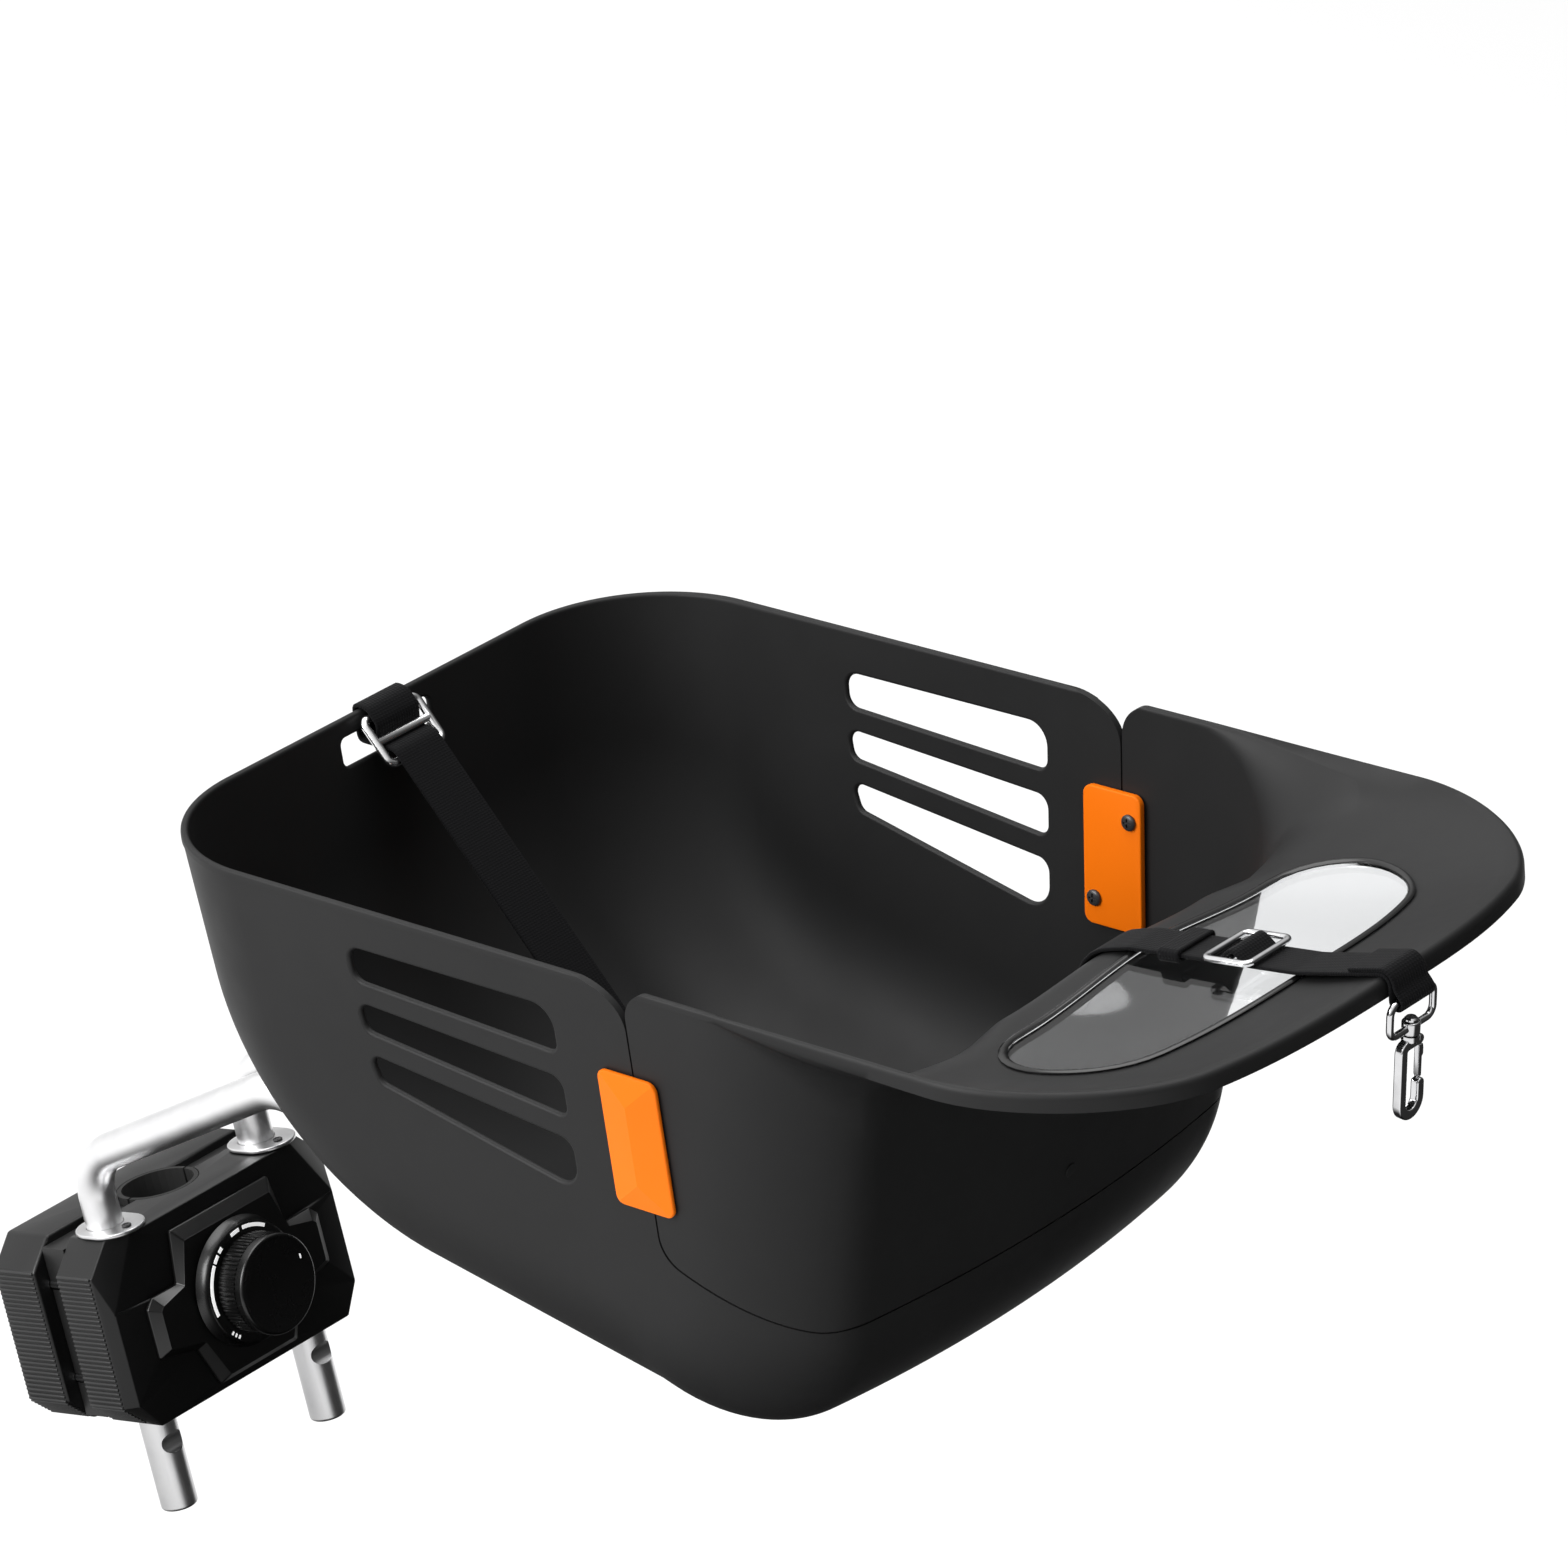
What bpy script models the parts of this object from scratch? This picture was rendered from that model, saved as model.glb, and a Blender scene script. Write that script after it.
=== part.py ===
"""Dog bicycle basket: a moulded two-part tub with a bonnet, on two bent tubes
that slide in a bracket clamped round the bicycle's seat tube.

Metres, +X forward, +Y left, +Z up. The origin is on the seat tube's axis, at the
middle of the bracket's height.
"""

import math

import bmesh
import bpy
import numpy as np
from mathutils import Matrix, Vector
from mathutils.bvhtree import BVHTree

# Frames: angles in degrees
SEAT_TUBE_ANGLE = 73.1
BASKET_PITCH = 5.8
RIM_X = 0.1228
RIM_Z = 0.3187

# Clearances shared by all pieces
GAP = 0.0003
SEAM_GAP = 0.0006
BEAD_GAP = 0.0005
OVERRUN = 0.02

# Tub: outer faces
TUB_HALF_WIDTH = 0.1524
TUB_FRONT = 0.3769
TUB_DEPTH = 0.2195
FLOOR_REFERENCE = 0.300
FRONT_BOW = 0.0173
SIDE_LEAN = 4.55
REAR_LEAN = 5.6
FRONT_LEAN = 14.2
FLOOR_SLOPE = 11.36
REAR_FLOOR_RADIUS = 0.1028
FRONT_FLOOR_RADIUS = 0.0788
SIDE_FLOOR_RADIUS = 0.0633
REAR_CORNER_RADIUS = 0.064
FRONT_CORNER_RADIUS = 0.0355
WALL = 0.003
RIM_ROUND = 0.0012
TUB_MIDDLE = 0.190

# Bonnet
LIP_FRONT = 0.5110
LIP_BOW = 0.041
LIP_CORNER_RADIUS = 0.060
LIP_CROWN = 0.0062
LIP_CROWN_HALF = 0.115
LIP_EDGE = 0.008
LIP_ROLL = 0.009
LIP_ROUND = 0.003
KNEE_DROP = 0.024
KNEE_SPREAD = 0.012
KNEE_BLEND = 0.017
CORNER_BLEND = 0.036
CORNER_BLEND_START = 0.100
CORNER_BLEND_RUN = 0.040
LIP_LINEAR_SHARE = 0.5
LIP_POWER_SHARE = 4.0

# Window in the bonnet
WINDOW_BORDER = 0.0424
WINDOW_DEPTH = 0.0776
WINDOW_FRONT = LIP_FRONT - WINDOW_BORDER
WINDOW_REAR = WINDOW_FRONT - WINDOW_DEPTH
WINDOW_HALF_WIDTH = 0.104
WINDOW_BOW = 0.022
WINDOW_CORNER_RADIUS = 0.028
BEAD_WIDTH = 0.0036
BEAD_HEIGHT = 0.0012

# Seam between the rear and front mouldings
SEAM_X = 0.2635
SEAM_CORNER_SHARE = 0.53303
SEAM_CORNER_RADIUS = 0.014
SEAM_FRONT_X = 0.325
SEAM_FRONT_SHARE = 0.64465
SEAM_FRONT_RADIUS = 0.020
NOTCH_RUN = 0.029
NOTCH_DROP = 0.012
WING_RUN = 0.014
WING_DROP = 0.008

# Side slots: rear corners, front ends, then depths below the rim of the four corners
SLOT_REARS = ((0.1208, 0.1218), (0.1214, 0.1238), (0.1228, 0.1270))
SLOT_FRONT = 0.2250
SLOT_DEPTHS = (
    (0.0186, 0.0186, 0.0381, 0.0331),
    (0.0431, 0.0493, 0.0662, 0.0552),
    (0.0655, 0.0768, 0.0985, 0.0772),
)
SLOT_SMALL_RADIUS = 0.0038
SLOT_TOP_RADIUS = 0.0130
SLOT_MIDDLE_RADIUS = 0.0055
SLOT_BOTTOM_RADIUS = 0.0120

# Strap slot in the rear wall
STRAP_SLOT_WIDTH = 0.052
STRAP_SLOT_HEIGHT = 0.012
STRAP_SLOT_TOP = 0.008
STRAP_SLOT_RADIUS = 0.003

# Side clips
CLIP_WIDTH = 0.029
CLIP_HEIGHT = 0.059
CLIP_X = 0.261
CLIP_DEPTH = 0.0668
CLIP_EDGE = 0.0018
CLIP_RIDGE = 0.0042
CLIP_CORNER = 0.0025
KEEPER_THICKNESS = 0.003
KEEPER_LIFT = 0.0007
CLIP_SCREW_X = 0.009
CLIP_SCREW_Z = 0.018
CLIP_SCREW_RADIUS = 0.0018
CLIP_SCREW_HEAD_RADIUS = 0.0034
CLIP_SCREW_HEAD = 0.0016

# Bracket block: along the tube's axis, across, and forward
BLOCK_HALF_WIDTH = 0.0705
BLOCK_TOP = 0.0424
BLOCK_BOTTOM = 0.0424
BLOCK_FRONT = 0.0337
HOUSING_BACK = 0.0045
JAW_FRONT = 0.0094
JAW_BACK = 0.0350
BLOCK_CHAMFER = 0.0125
FACE_CHAMFER_WIDTH = 0.0215
FACE_CHAMFER_HEIGHT = 0.030
FACE_FOOT_WIDTH = 0.0125
FACE_FOOT_HEIGHT = 0.0125
FACE_SLOPE_RUN = 0.0075
FACE_SIDE_INSET = 0.0035
BLOCK_BEVEL = 0.0012
MID_PLATE_INSET = 0.0075
TUBE_RADIUS = 0.016
LINER_THICKNESS = 0.002
LINER_SPLIT = 0.0006
JAW_BOLT_RADIUS = 0.0025
JAW_BOLT_HEAD_RADIUS = 0.0045
JAW_BOLT_HEAD = 0.005
JAW_BOLT_INSET = 0.0093
JAW_BOLT_U = 0.0215
JAW_BOLT_DEPTH = 0.012

# Faceted cover plate round the knob: half widths and heights of its corners
COVER_HEIGHT = 0.0045
COVER_BEVEL = 0.0032
COVER_TOP = 0.0355
COVER_TOP_HALF = 0.030
COVER_WAIST_HALF = 0.0335
COVER_SHOULDER = 0.0125
COVER_SHOULDER_HALF = 0.0485
COVER_SIDE_TOP = 0.0085
COVER_SIDE_HALF = 0.0525
COVER_SIDE_BOTTOM = 0.0140
COVER_HIP_HALF = 0.0315
COVER_HIP = 0.0185
COVER_FOOT_HALF = 0.0235
COVER_FOOT = 0.0380

# Knob, ring and clamp bar
RING_RADIUS = 0.0255
RING_WIDTH = 0.0022
RING_HEIGHT = 0.0012
RING_FRONT = 0.0450
COLLAR_RADIUS = 0.0262
KNOB_RADIUS = 0.0218
KNOB_FRONT = 0.0605
KNOB_EDGE = 0.0014
KNOB_FLUTES = 28
KNOB_FLUTE_DEPTH = 0.0008
SPINDLE_RADIUS = 0.005
BAR_INSET = 0.0190
BAR_HALF_HEIGHT = 0.0075
BAR_THICKNESS = 0.005
BAR_TRAVEL = 0.0015
BAR_POCKET_GAP = 0.0006

# Support tubes
LEG_RADIUS = 0.008
LEG_INSET = 0.0240
LEG_Y = BLOCK_HALF_WIDTH - LEG_INSET
LEG_F = 0.0156
LEG_BOTTOM = 0.086
LEG_CORNER = 0.0739
LEG_BEND = 0.024
ARM_RISE = 34.9
ARM_BEND = 0.032
ARM_END = 0.250
LEG_NOTCH = 0.0555
LEG_NOTCH_RADIUS = 0.0055
LEG_NOTCH_DEPTH = 0.0026
LEG_CHAMFER = 0.0015
TUBE_CAP = 0.004
FLANGE_RADIUS = 0.0130
FLANGE_LENGTH = 0.0060
FLANGE_THICKNESS = 0.0018
FLANGE_COLLAR = 0.0022
FLANGE_COLLAR_HEIGHT = 0.004
FLANGE_SCREW_OFFSET = 0.0135
FLANGE_SCREW_RADIUS = 0.0020
FLANGE_SCREW_HEIGHT = 0.0012

# Saddles under the floor
SADDLE_WEB = 0.003
SADDLE_LENGTH = 0.024
SADDLE_MARGIN = 0.0075
SADDLE_HALF_WIDTH = LEG_Y + LEG_RADIUS + SADDLE_MARGIN
SADDLE_REAR_X = 0.135
SADDLE_FRONT_X = 0.225
SADDLE_BEVEL = 0.0025
SADDLE_BOLT_SHARE = 0.516
SADDLE_BOLT_Y = LEG_Y * SADDLE_BOLT_SHARE
SADDLE_BOLT_RADIUS = 0.0025
SADDLE_BOLT_HEAD_RADIUS = 0.0055
SADDLE_BOLT_HEAD = 0.0025
SADDLE_NUT = 0.004

# Webbing
WEB_THICKNESS = 0.0016
WEB_GAP = 0.0008
REAR_WEB_WIDTH = 0.025
FRONT_WEB_WIDTH = 0.020
RIVET_RADIUS = 0.0018
RIVET_HEAD_RADIUS = 0.0040
RIVET_HEAD = 0.0012
ANCHOR_LENGTH = 0.018
ANCHOR_THICKNESS = 0.002
ANCHOR_MARGIN = 0.004
REAR_ANCHOR_X = 0.191
TETHER_ANCHOR_SHARE = 0.54214

# Sliders, keeper, ring and snap hook
SLIDER_WIRE = 0.0015
SLIDER_PITCH = 0.0105
SLIDER_MARGIN = 0.0032
SLIDER_WAVE = 0.0075
REAR_SLIDER_RUN = 0.0135
TETHER_SLIDER_X = 0.440
KEEPER_X = 0.411
KEEPER_LENGTH = 0.010
KEEPER_WALL = 0.0012
RING_WIRE = 0.0015
RING_SPAN = 0.0265
RING_DROP = 0.0135
RING_CORNER = 0.003
RING_BAR_DEPTH = 0.009
TAIL_LENGTH = 0.016
BARREL_RADIUS = 0.0036
BARREL_LENGTH = 0.0055
STUD_RADIUS = 0.0014
STUD_HEAD_RADIUS = 0.0026
STUD_HEAD = 0.0012
HOOK_WIRE = 0.0020
HOOK_SPAN = 0.0110
HOOK_LENGTH = 0.030
HOOK_NECK = 0.0025
HOOK_TIP_SHARE = 0.30
GATE_WIRE = 0.0014
GATE_GAP = 0.0008


# Clearing the scene
for thing in list(bpy.data.objects):
    bpy.data.objects.remove(thing, do_unlink=True)


# Small helpers
def rotation_y(degrees):
    return Matrix.Rotation(math.radians(degrees), 4, "Y")


def slope(degrees):
    return math.tan(math.radians(degrees))


def material(name, colour, roughness, metallic=0.0, alpha=1.0):
    made = bpy.data.materials.new(name)
    made.use_nodes = True
    shader = made.node_tree.nodes["Principled BSDF"]
    shader.inputs["Base Color"].default_value = (*colour, 1.0)
    shader.inputs["Roughness"].default_value = roughness
    shader.inputs["Metallic"].default_value = metallic
    shader.inputs["Alpha"].default_value = alpha
    return made


def empty(name, matrix, parent=None):
    made = bpy.data.objects.new(name, None)
    bpy.context.scene.collection.objects.link(made)
    made.parent = parent
    made.matrix_local = matrix
    return made


def place(name, mesh, look, parent, matrix=None):
    made = bpy.data.objects.new(name, mesh)
    bpy.context.scene.collection.objects.link(made)
    if look is not None:
        mesh.materials.append(look)
    made.parent = parent
    made.matrix_local = matrix if matrix is not None else Matrix.Identity(4)
    return made


def mesh_of(bm, smooth_angle=35.0):
    bmesh.ops.recalc_face_normals(bm, faces=bm.faces)
    mesh = bpy.data.meshes.new("mesh")
    bm.to_mesh(mesh)
    bm.free()
    mesh.shade_smooth()
    mesh.set_sharp_from_angle(angle=math.radians(smooth_angle))
    return mesh


def mesh_of_points(points, faces):
    bm = bmesh.new()
    corners = [bm.verts.new(point) for point in points]
    for face in faces:
        bm.faces.new([corners[index] for index in face])
    return mesh_of(bm)


def rounded(corners, radii, steps=5):
    """A closed outline with each corner rounded by its radius."""
    outline = []
    for index, corner in enumerate(corners):
        corner = Vector(corner)
        before = Vector(corners[index - 1]) - corner
        after = Vector(corners[(index + 1) % len(corners)]) - corner
        radius = radii[index] if hasattr(radii, "__len__") else radii
        if radius <= 0:
            outline.append(corner)
            continue
        half = before.angle(after) / 2
        reach = min(radius / math.tan(half), before.length / 2, after.length / 2)
        radius = reach * math.tan(half)
        inward = (before.normalized() + after.normalized()).normalized()
        centre = corner + inward * (radius / math.sin(half))
        start = corner + before.normalized() * reach - centre
        end = corner + after.normalized() * reach - centre
        sweep = start.angle_signed(end)
        for step in range(steps + 1):
            turn = Matrix.Rotation(-sweep * step / steps, 2)
            outline.append(centre + turn @ start)
    return outline


def prism(outline, low, high, axes="XYZ"):
    """A closed outline extruded from low to high along the third of the axes."""
    first, second, third = ["XYZ".index(axis) for axis in axes]
    count = len(outline)
    points = []
    for level in (low, high):
        for point in outline:
            spot = [0.0, 0.0, 0.0]
            spot[first] = point[0]
            spot[second] = point[1]
            spot[third] = level
            points.append(spot)
    faces = [list(range(count)), list(range(count, 2 * count))]
    for index in range(count):
        after = (index + 1) % count
        faces.append([index, after, count + after, count + index])
    return mesh_of_points(points, faces)


def rings(loops, closed=False):
    """A skin over loops of as many points, with a flat cap at each end."""
    count = len(loops[0])
    points = [point for loop in loops for point in loop]
    faces = []
    last = len(loops) if closed else len(loops) - 1
    for ring in range(last):
        low = ring * count
        high = ((ring + 1) % len(loops)) * count
        for index in range(count):
            after = (index + 1) % count
            faces.append([low + index, low + after, high + after, high + index])
    if not closed:
        faces.append(list(range(count)))
        faces.append(list(range((len(loops) - 1) * count, len(loops) * count)))
    return mesh_of_points(points, faces)


def lathe(profile, sides=24):
    """A closed (radius, height) profile turned about Z. Radius 0 is on the axis."""
    points = []
    rows = []
    for radius, height in profile:
        if radius == 0:
            rows.append([len(points)])
            points.append((0.0, 0.0, height))
            continue
        rows.append(list(range(len(points), len(points) + sides)))
        for side in range(sides):
            turn = math.tau * side / sides
            points.append((radius * math.cos(turn), radius * math.sin(turn), height))
    faces = []
    pairs = list(zip(rows, rows[1:] + rows[:1]))
    for low, high in pairs:
        if len(low) == 1 and len(high) == 1:
            continue
        for side in range(sides):
            after = (side + 1) % sides
            if len(low) == 1:
                faces.append([low[0], high[side], high[after]])
            elif len(high) == 1:
                faces.append([low[side], low[after], high[0]])
            else:
                faces.append([low[side], low[after], high[after], high[side]])
    return mesh_of_points(points, faces)


def sweep(path, radius, sides=12, closed=False, across=Vector((0, 1, 0))):
    """A round bar along a path that lies in a plane square to across."""
    loops = []
    count = len(path)
    for index, point in enumerate(path):
        before = path[index - 1] if closed or index else point
        after = path[(index + 1) % count] if closed or index < count - 1 else point
        along = (Vector(after) - Vector(before)).normalized()
        out = along.cross(across).normalized()
        stretch = 1.0
        if before is not point and after is not point:
            one = (Vector(point) - Vector(before)).normalized()
            stretch = 1 / max(one.dot(along), 0.5)
        loop = []
        for side in range(sides):
            turn = math.tau * (side + 0.5) / sides
            shift = out * (radius * stretch * math.cos(turn))
            shift += across * (radius * math.sin(turn))
            loop.append(Vector(point) + shift)
        loops.append(loop)
    return rings(loops, closed)


def ribbon(path, width, thickness):
    """Flat webbing along a path of (x, z) points, its width across Y."""
    loops = []
    for index, point in enumerate(path):
        before = path[max(index - 1, 0)]
        after = path[min(index + 1, len(path) - 1)]
        along = (Vector(after) - Vector(before)).normalized()
        up = Vector((-along.y, along.x))
        one = (Vector(point) - Vector(before)).normalized() if index else along
        stretch = 1 / max(one.dot(along), 0.5)
        loop = []
        for side, height in ((-1, -1), (1, -1), (1, 1), (-1, 1)):
            spot = Vector(point) + up * (height * stretch * thickness / 2)
            loop.append((spot.x, side * width / 2, spot.y))
        loops.append(loop)
    return rings(loops)


def bevel(thing, width, segments=2, angle=30.0):
    made = thing.modifiers.new("Bevel", "BEVEL")
    made.width = width
    made.segments = segments
    made.limit_method = "ANGLE"
    made.angle_limit = math.radians(angle)
    return made


def boolean(thing, other, operation="DIFFERENCE", solver="EXACT"):
    made = thing.modifiers.new(other.name, "BOOLEAN")
    made.operation = operation
    made.object = other
    made.solver = solver
    return made


def cut_skin(thing, other, operation="DIFFERENCE"):
    """A cut through the moulded skin, where EXACT loses faces at some sizes."""
    return boolean(thing, other, operation, "MANIFOLD")


def cutter(name, mesh, parent, matrix=None):
    made = place(name, mesh, None, parent, matrix)
    made.hide_render = True
    made.display_type = "WIRE"
    return made


# Materials
SHELL = material("shell_black", (0.030, 0.030, 0.031), 0.55)
BLOCK = material("bracket_black", (0.022, 0.022, 0.023), 0.45)
COVER = material("cover_black", (0.008, 0.008, 0.008), 0.35)
KNOB = material("knob_black", (0.006, 0.006, 0.006), 0.30)
RUBBER = material("liner_rubber", (0.015, 0.015, 0.015), 0.85)
TUBE = material("tube_silver", (0.62, 0.63, 0.64), 0.28, 1.0)
STEEL = material("steel", (0.70, 0.70, 0.71), 0.22, 1.0)
ORANGE = material("clip_orange", (1.0, 0.235, 0.010), 0.45)
PANE = material("pane_clear", (0.90, 0.92, 0.93), 0.04, 0.0, 0.25)
BEAD = material("bead_black", (0.012, 0.012, 0.012), 0.20)
WEB = material("webbing_black", (0.006, 0.006, 0.008), 0.90)
PALE = material("ring_pale", (0.80, 0.80, 0.80), 0.50)

# Frames: the bracket leans with the seat tube, the basket is pitched nose up
bracket_turn = rotation_y(SEAT_TUBE_ANGLE - 90.0)
basket_turn = Matrix.Translation((RIM_X, 0, RIM_Z)) @ rotation_y(-BASKET_PITCH)
bracket = empty("bracket_frame", bracket_turn)
carrier = empty("lift_slide", Matrix.Identity(4))
basket = empty("basket_frame", basket_turn, carrier)


# Shape of the tub, as distances outside its walls
def rounded_max(one, other, radius):
    outside = np.hypot(np.maximum(one + radius, 0), np.maximum(other + radius, 0))
    return np.minimum(-radius, np.maximum(one, other)) + outside


def tub_distance(points):
    x, y, z = points[..., 0], points[..., 1], points[..., 2]
    lean = slope(SIDE_LEAN)
    side = (np.abs(y) - (TUB_HALF_WIDTH + lean * z)) / math.hypot(1, lean)
    lean = slope(REAR_LEAN)
    rear = (-x - lean * z) / math.hypot(1, lean)
    lean = slope(FRONT_LEAN)
    bow = FRONT_BOW * (y / TUB_HALF_WIDTH) ** 2
    front = (x + bow - (TUB_FRONT + lean * z)) / math.hypot(1, lean)
    lean = slope(FLOOR_SLOPE)
    floor = (-z - (TUB_DEPTH + lean * (x - FLOOR_REFERENCE))) / math.hypot(1, lean)
    profile = rounded_max(rear, floor, REAR_FLOOR_RADIUS)
    profile = rounded_max(profile, front, FRONT_FLOOR_RADIUS)
    near_rear = np.clip(1 + rear / REAR_FLOOR_RADIUS, 0, 1) ** 2
    near_front = np.clip(1 + front / FRONT_FLOOR_RADIUS, 0, 1)
    radius = SIDE_FLOOR_RADIUS
    radius = radius + (REAR_CORNER_RADIUS - SIDE_FLOOR_RADIUS) * near_rear
    radius = radius + (FRONT_CORNER_RADIUS - SIDE_FLOOR_RADIUS) * near_front
    return rounded_max(side, profile, radius)


def rays(directions, distance, reach):
    """How far each ray from the middle of the rim goes before distance is zero."""
    middle = np.array((TUB_MIDDLE, 0.0, 0.0))
    low = np.zeros(directions.shape[:-1])
    high = np.full(directions.shape[:-1], reach)
    for _ in range(30):
        centre = (low + high) / 2
        inside = distance(middle + directions * centre[..., None]) < 0
        low = np.where(inside, centre, low)
        high = np.where(inside, high, centre)
    return low


def lip_distance(points):
    x, y = points[..., 0], points[..., 1]
    side = np.abs(y) - TUB_HALF_WIDTH
    front = x + LIP_BOW * (y / TUB_HALF_WIDTH) ** 2 - LIP_FRONT
    return rounded_max(side, front, LIP_CORNER_RADIUS)


def window_distance(points):
    x, y = points[..., 0], points[..., 1]
    side = np.abs(y) - WINDOW_HALF_WIDTH
    front = x + WINDOW_BOW * (y / WINDOW_HALF_WIDTH) ** 2 - WINDOW_FRONT
    rear = WINDOW_REAR - x
    return rounded_max(side, np.maximum(front, rear), WINDOW_CORNER_RADIUS)


REACH = LIP_FRONT + OVERRUN
DENSE = 90


def rim_radius(turns):
    """Distance from the middle to the rim or bonnet edge in each direction."""
    flat = np.stack([np.cos(turns), np.sin(turns), 0 * turns], -1)
    tub = rays(flat, tub_distance, REACH)
    lip = rays(flat, lip_distance, REACH)
    return np.where(np.cos(turns) > 0, np.maximum(lip, tub), tub), tub


def wall_curves(turns, inset):
    """Dense (radius, height) curves down the wall, inset from its outer face."""
    down = np.linspace(0, math.pi / 2, DENSE)
    turn, dip = np.meshgrid(turns, down, indexing="ij")
    heading = np.stack(
        [np.cos(turn) * np.cos(dip), np.sin(turn) * np.cos(dip), -np.sin(dip)], -1
    )
    run = rays(heading, lambda spot: tub_distance(spot) + inset, REACH)
    return run * np.cos(dip), -run * np.sin(dip)


def smooth_step(value):
    value = np.clip(value, 0, 1)
    return value * value * (3 - 2 * value)


def section(edge, overhang, edge_y, wall_r, wall_z, under):
    """Dense points of one upright cut, from the rim inward and down to the pole."""
    share = overhang / (overhang + KNEE_SPREAD)
    top = LIP_CROWN * smooth_step(1 - abs(edge_y) / LIP_CROWN_HALF)
    top = top * smooth_step(overhang / KNEE_DROP)
    roll = RIM_ROUND + (LIP_ROUND - RIM_ROUND) * share
    height = WALL + (LIP_EDGE - WALL) * share
    knee_z = top - KNEE_DROP * share - (WALL if under else 0)
    knee_r = np.interp(-knee_z, -wall_z, wall_r)
    start_r = edge if under else edge - roll
    start_z = top - height if under else top
    ramp = np.linspace(1, 0, 40)
    rise = LIP_LINEAR_SHARE * ramp + (1 - LIP_LINEAR_SHARE) * ramp**LIP_POWER_SHARE
    line_r = knee_r + (start_r - knee_r) * ramp
    level = top - WALL if under else top
    line_z = knee_z + (level - knee_z) * rise
    if under:
        inward = np.clip(1 - (edge - line_r) / LIP_ROLL, 0, 1)
        line_z = line_z - (height - WALL) * inward**2
    line_r[0], line_z[0] = start_r, start_z
    below = wall_z < knee_z - GAP
    path_r = np.r_[line_r, wall_r[below]]
    path_z = np.r_[line_z, wall_z[below]]
    runs = np.r_[0, np.cumsum(np.hypot(np.diff(path_r), np.diff(path_z)))]
    knee = runs[len(line_r) - 1]
    corner = smooth_step((abs(edge_y) - CORNER_BLEND_START) / CORNER_BLEND_RUN)
    reach = KNEE_BLEND + (CORNER_BLEND - KNEE_BLEND) * corner
    reach = min(reach, 0.8 * knee)
    if reach > GAP:
        ends = [
            np.array((np.interp(spot, runs, path_r), np.interp(spot, runs, path_z)))
            for spot in (knee - reach, knee, knee + reach)
        ]
        turn = np.linspace(0, 1, 14)[:, None]
        blend = (1 - turn) ** 2 * ends[0]
        blend = blend + 2 * turn * (1 - turn) * ends[1] + turn**2 * ends[2]
        first = runs < knee - reach
        last = runs > knee + reach
        path_r = np.r_[path_r[first], blend[:, 0], path_r[last]]
        path_z = np.r_[path_z[first], blend[:, 1], path_z[last]]
    path_r[-1] = 0.0
    return path_r, path_z, top, roll, knee, reach


def spread(cut, lip_rows, wall_rows):
    """Points along a section: over the lip, through the bend, then down the wall."""
    path_r, path_z, knee, reach = cut[0], cut[1], cut[4], cut[5]
    runs = np.r_[0, np.cumsum(np.hypot(np.diff(path_r), np.diff(path_z)))]
    bend_start = math.hypot(max(knee - reach, 0), LIP_ROLL / 3)
    bend_end = math.hypot(knee + reach, LIP_ROLL)
    bend_rows = 4
    first = np.linspace(0, bend_start, lip_rows, endpoint=False)
    second = np.linspace(bend_start, bend_end, bend_rows, endpoint=False)
    third = bend_end + (runs[-1] - bend_end) * np.linspace(0, 1, wall_rows)
    spots = np.r_[first, second, third]
    return np.interp(spots, runs, path_r), np.interp(spots, runs, path_z)


ROW_LENGTH_SHARE = 0.085
ROW_TURN = 22.0


def plan_turns(count):
    """Directions round the rim, closer at its corners, alike on both sides."""
    turns = np.linspace(0, math.pi, 720)
    edge, tub = rim_radius(turns)
    x, y = edge * np.cos(turns), edge * np.sin(turns)
    steps = np.hypot(np.diff(x), np.diff(y))
    heading = np.unwrap(np.arctan2(np.diff(y), np.diff(x)))
    bend = np.abs(np.r_[0, np.diff(heading)])
    weight = steps / (ROW_LENGTH_SHARE * TUB_FRONT) + 1.6 * bend / math.radians(ROW_TURN)
    weight = weight + np.abs(np.diff(edge - tub)) / LIP_ROLL
    total = np.r_[0, np.cumsum(weight)]
    half = np.interp(np.linspace(0, total[-1], count // 2 + 1), total, turns)
    return np.r_[half, -half[-2:0:-1]]


AROUND = 72
LIP_ROWS = 4
WALL_ROWS = 10
UNDER_LIP_ROWS = 3


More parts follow.
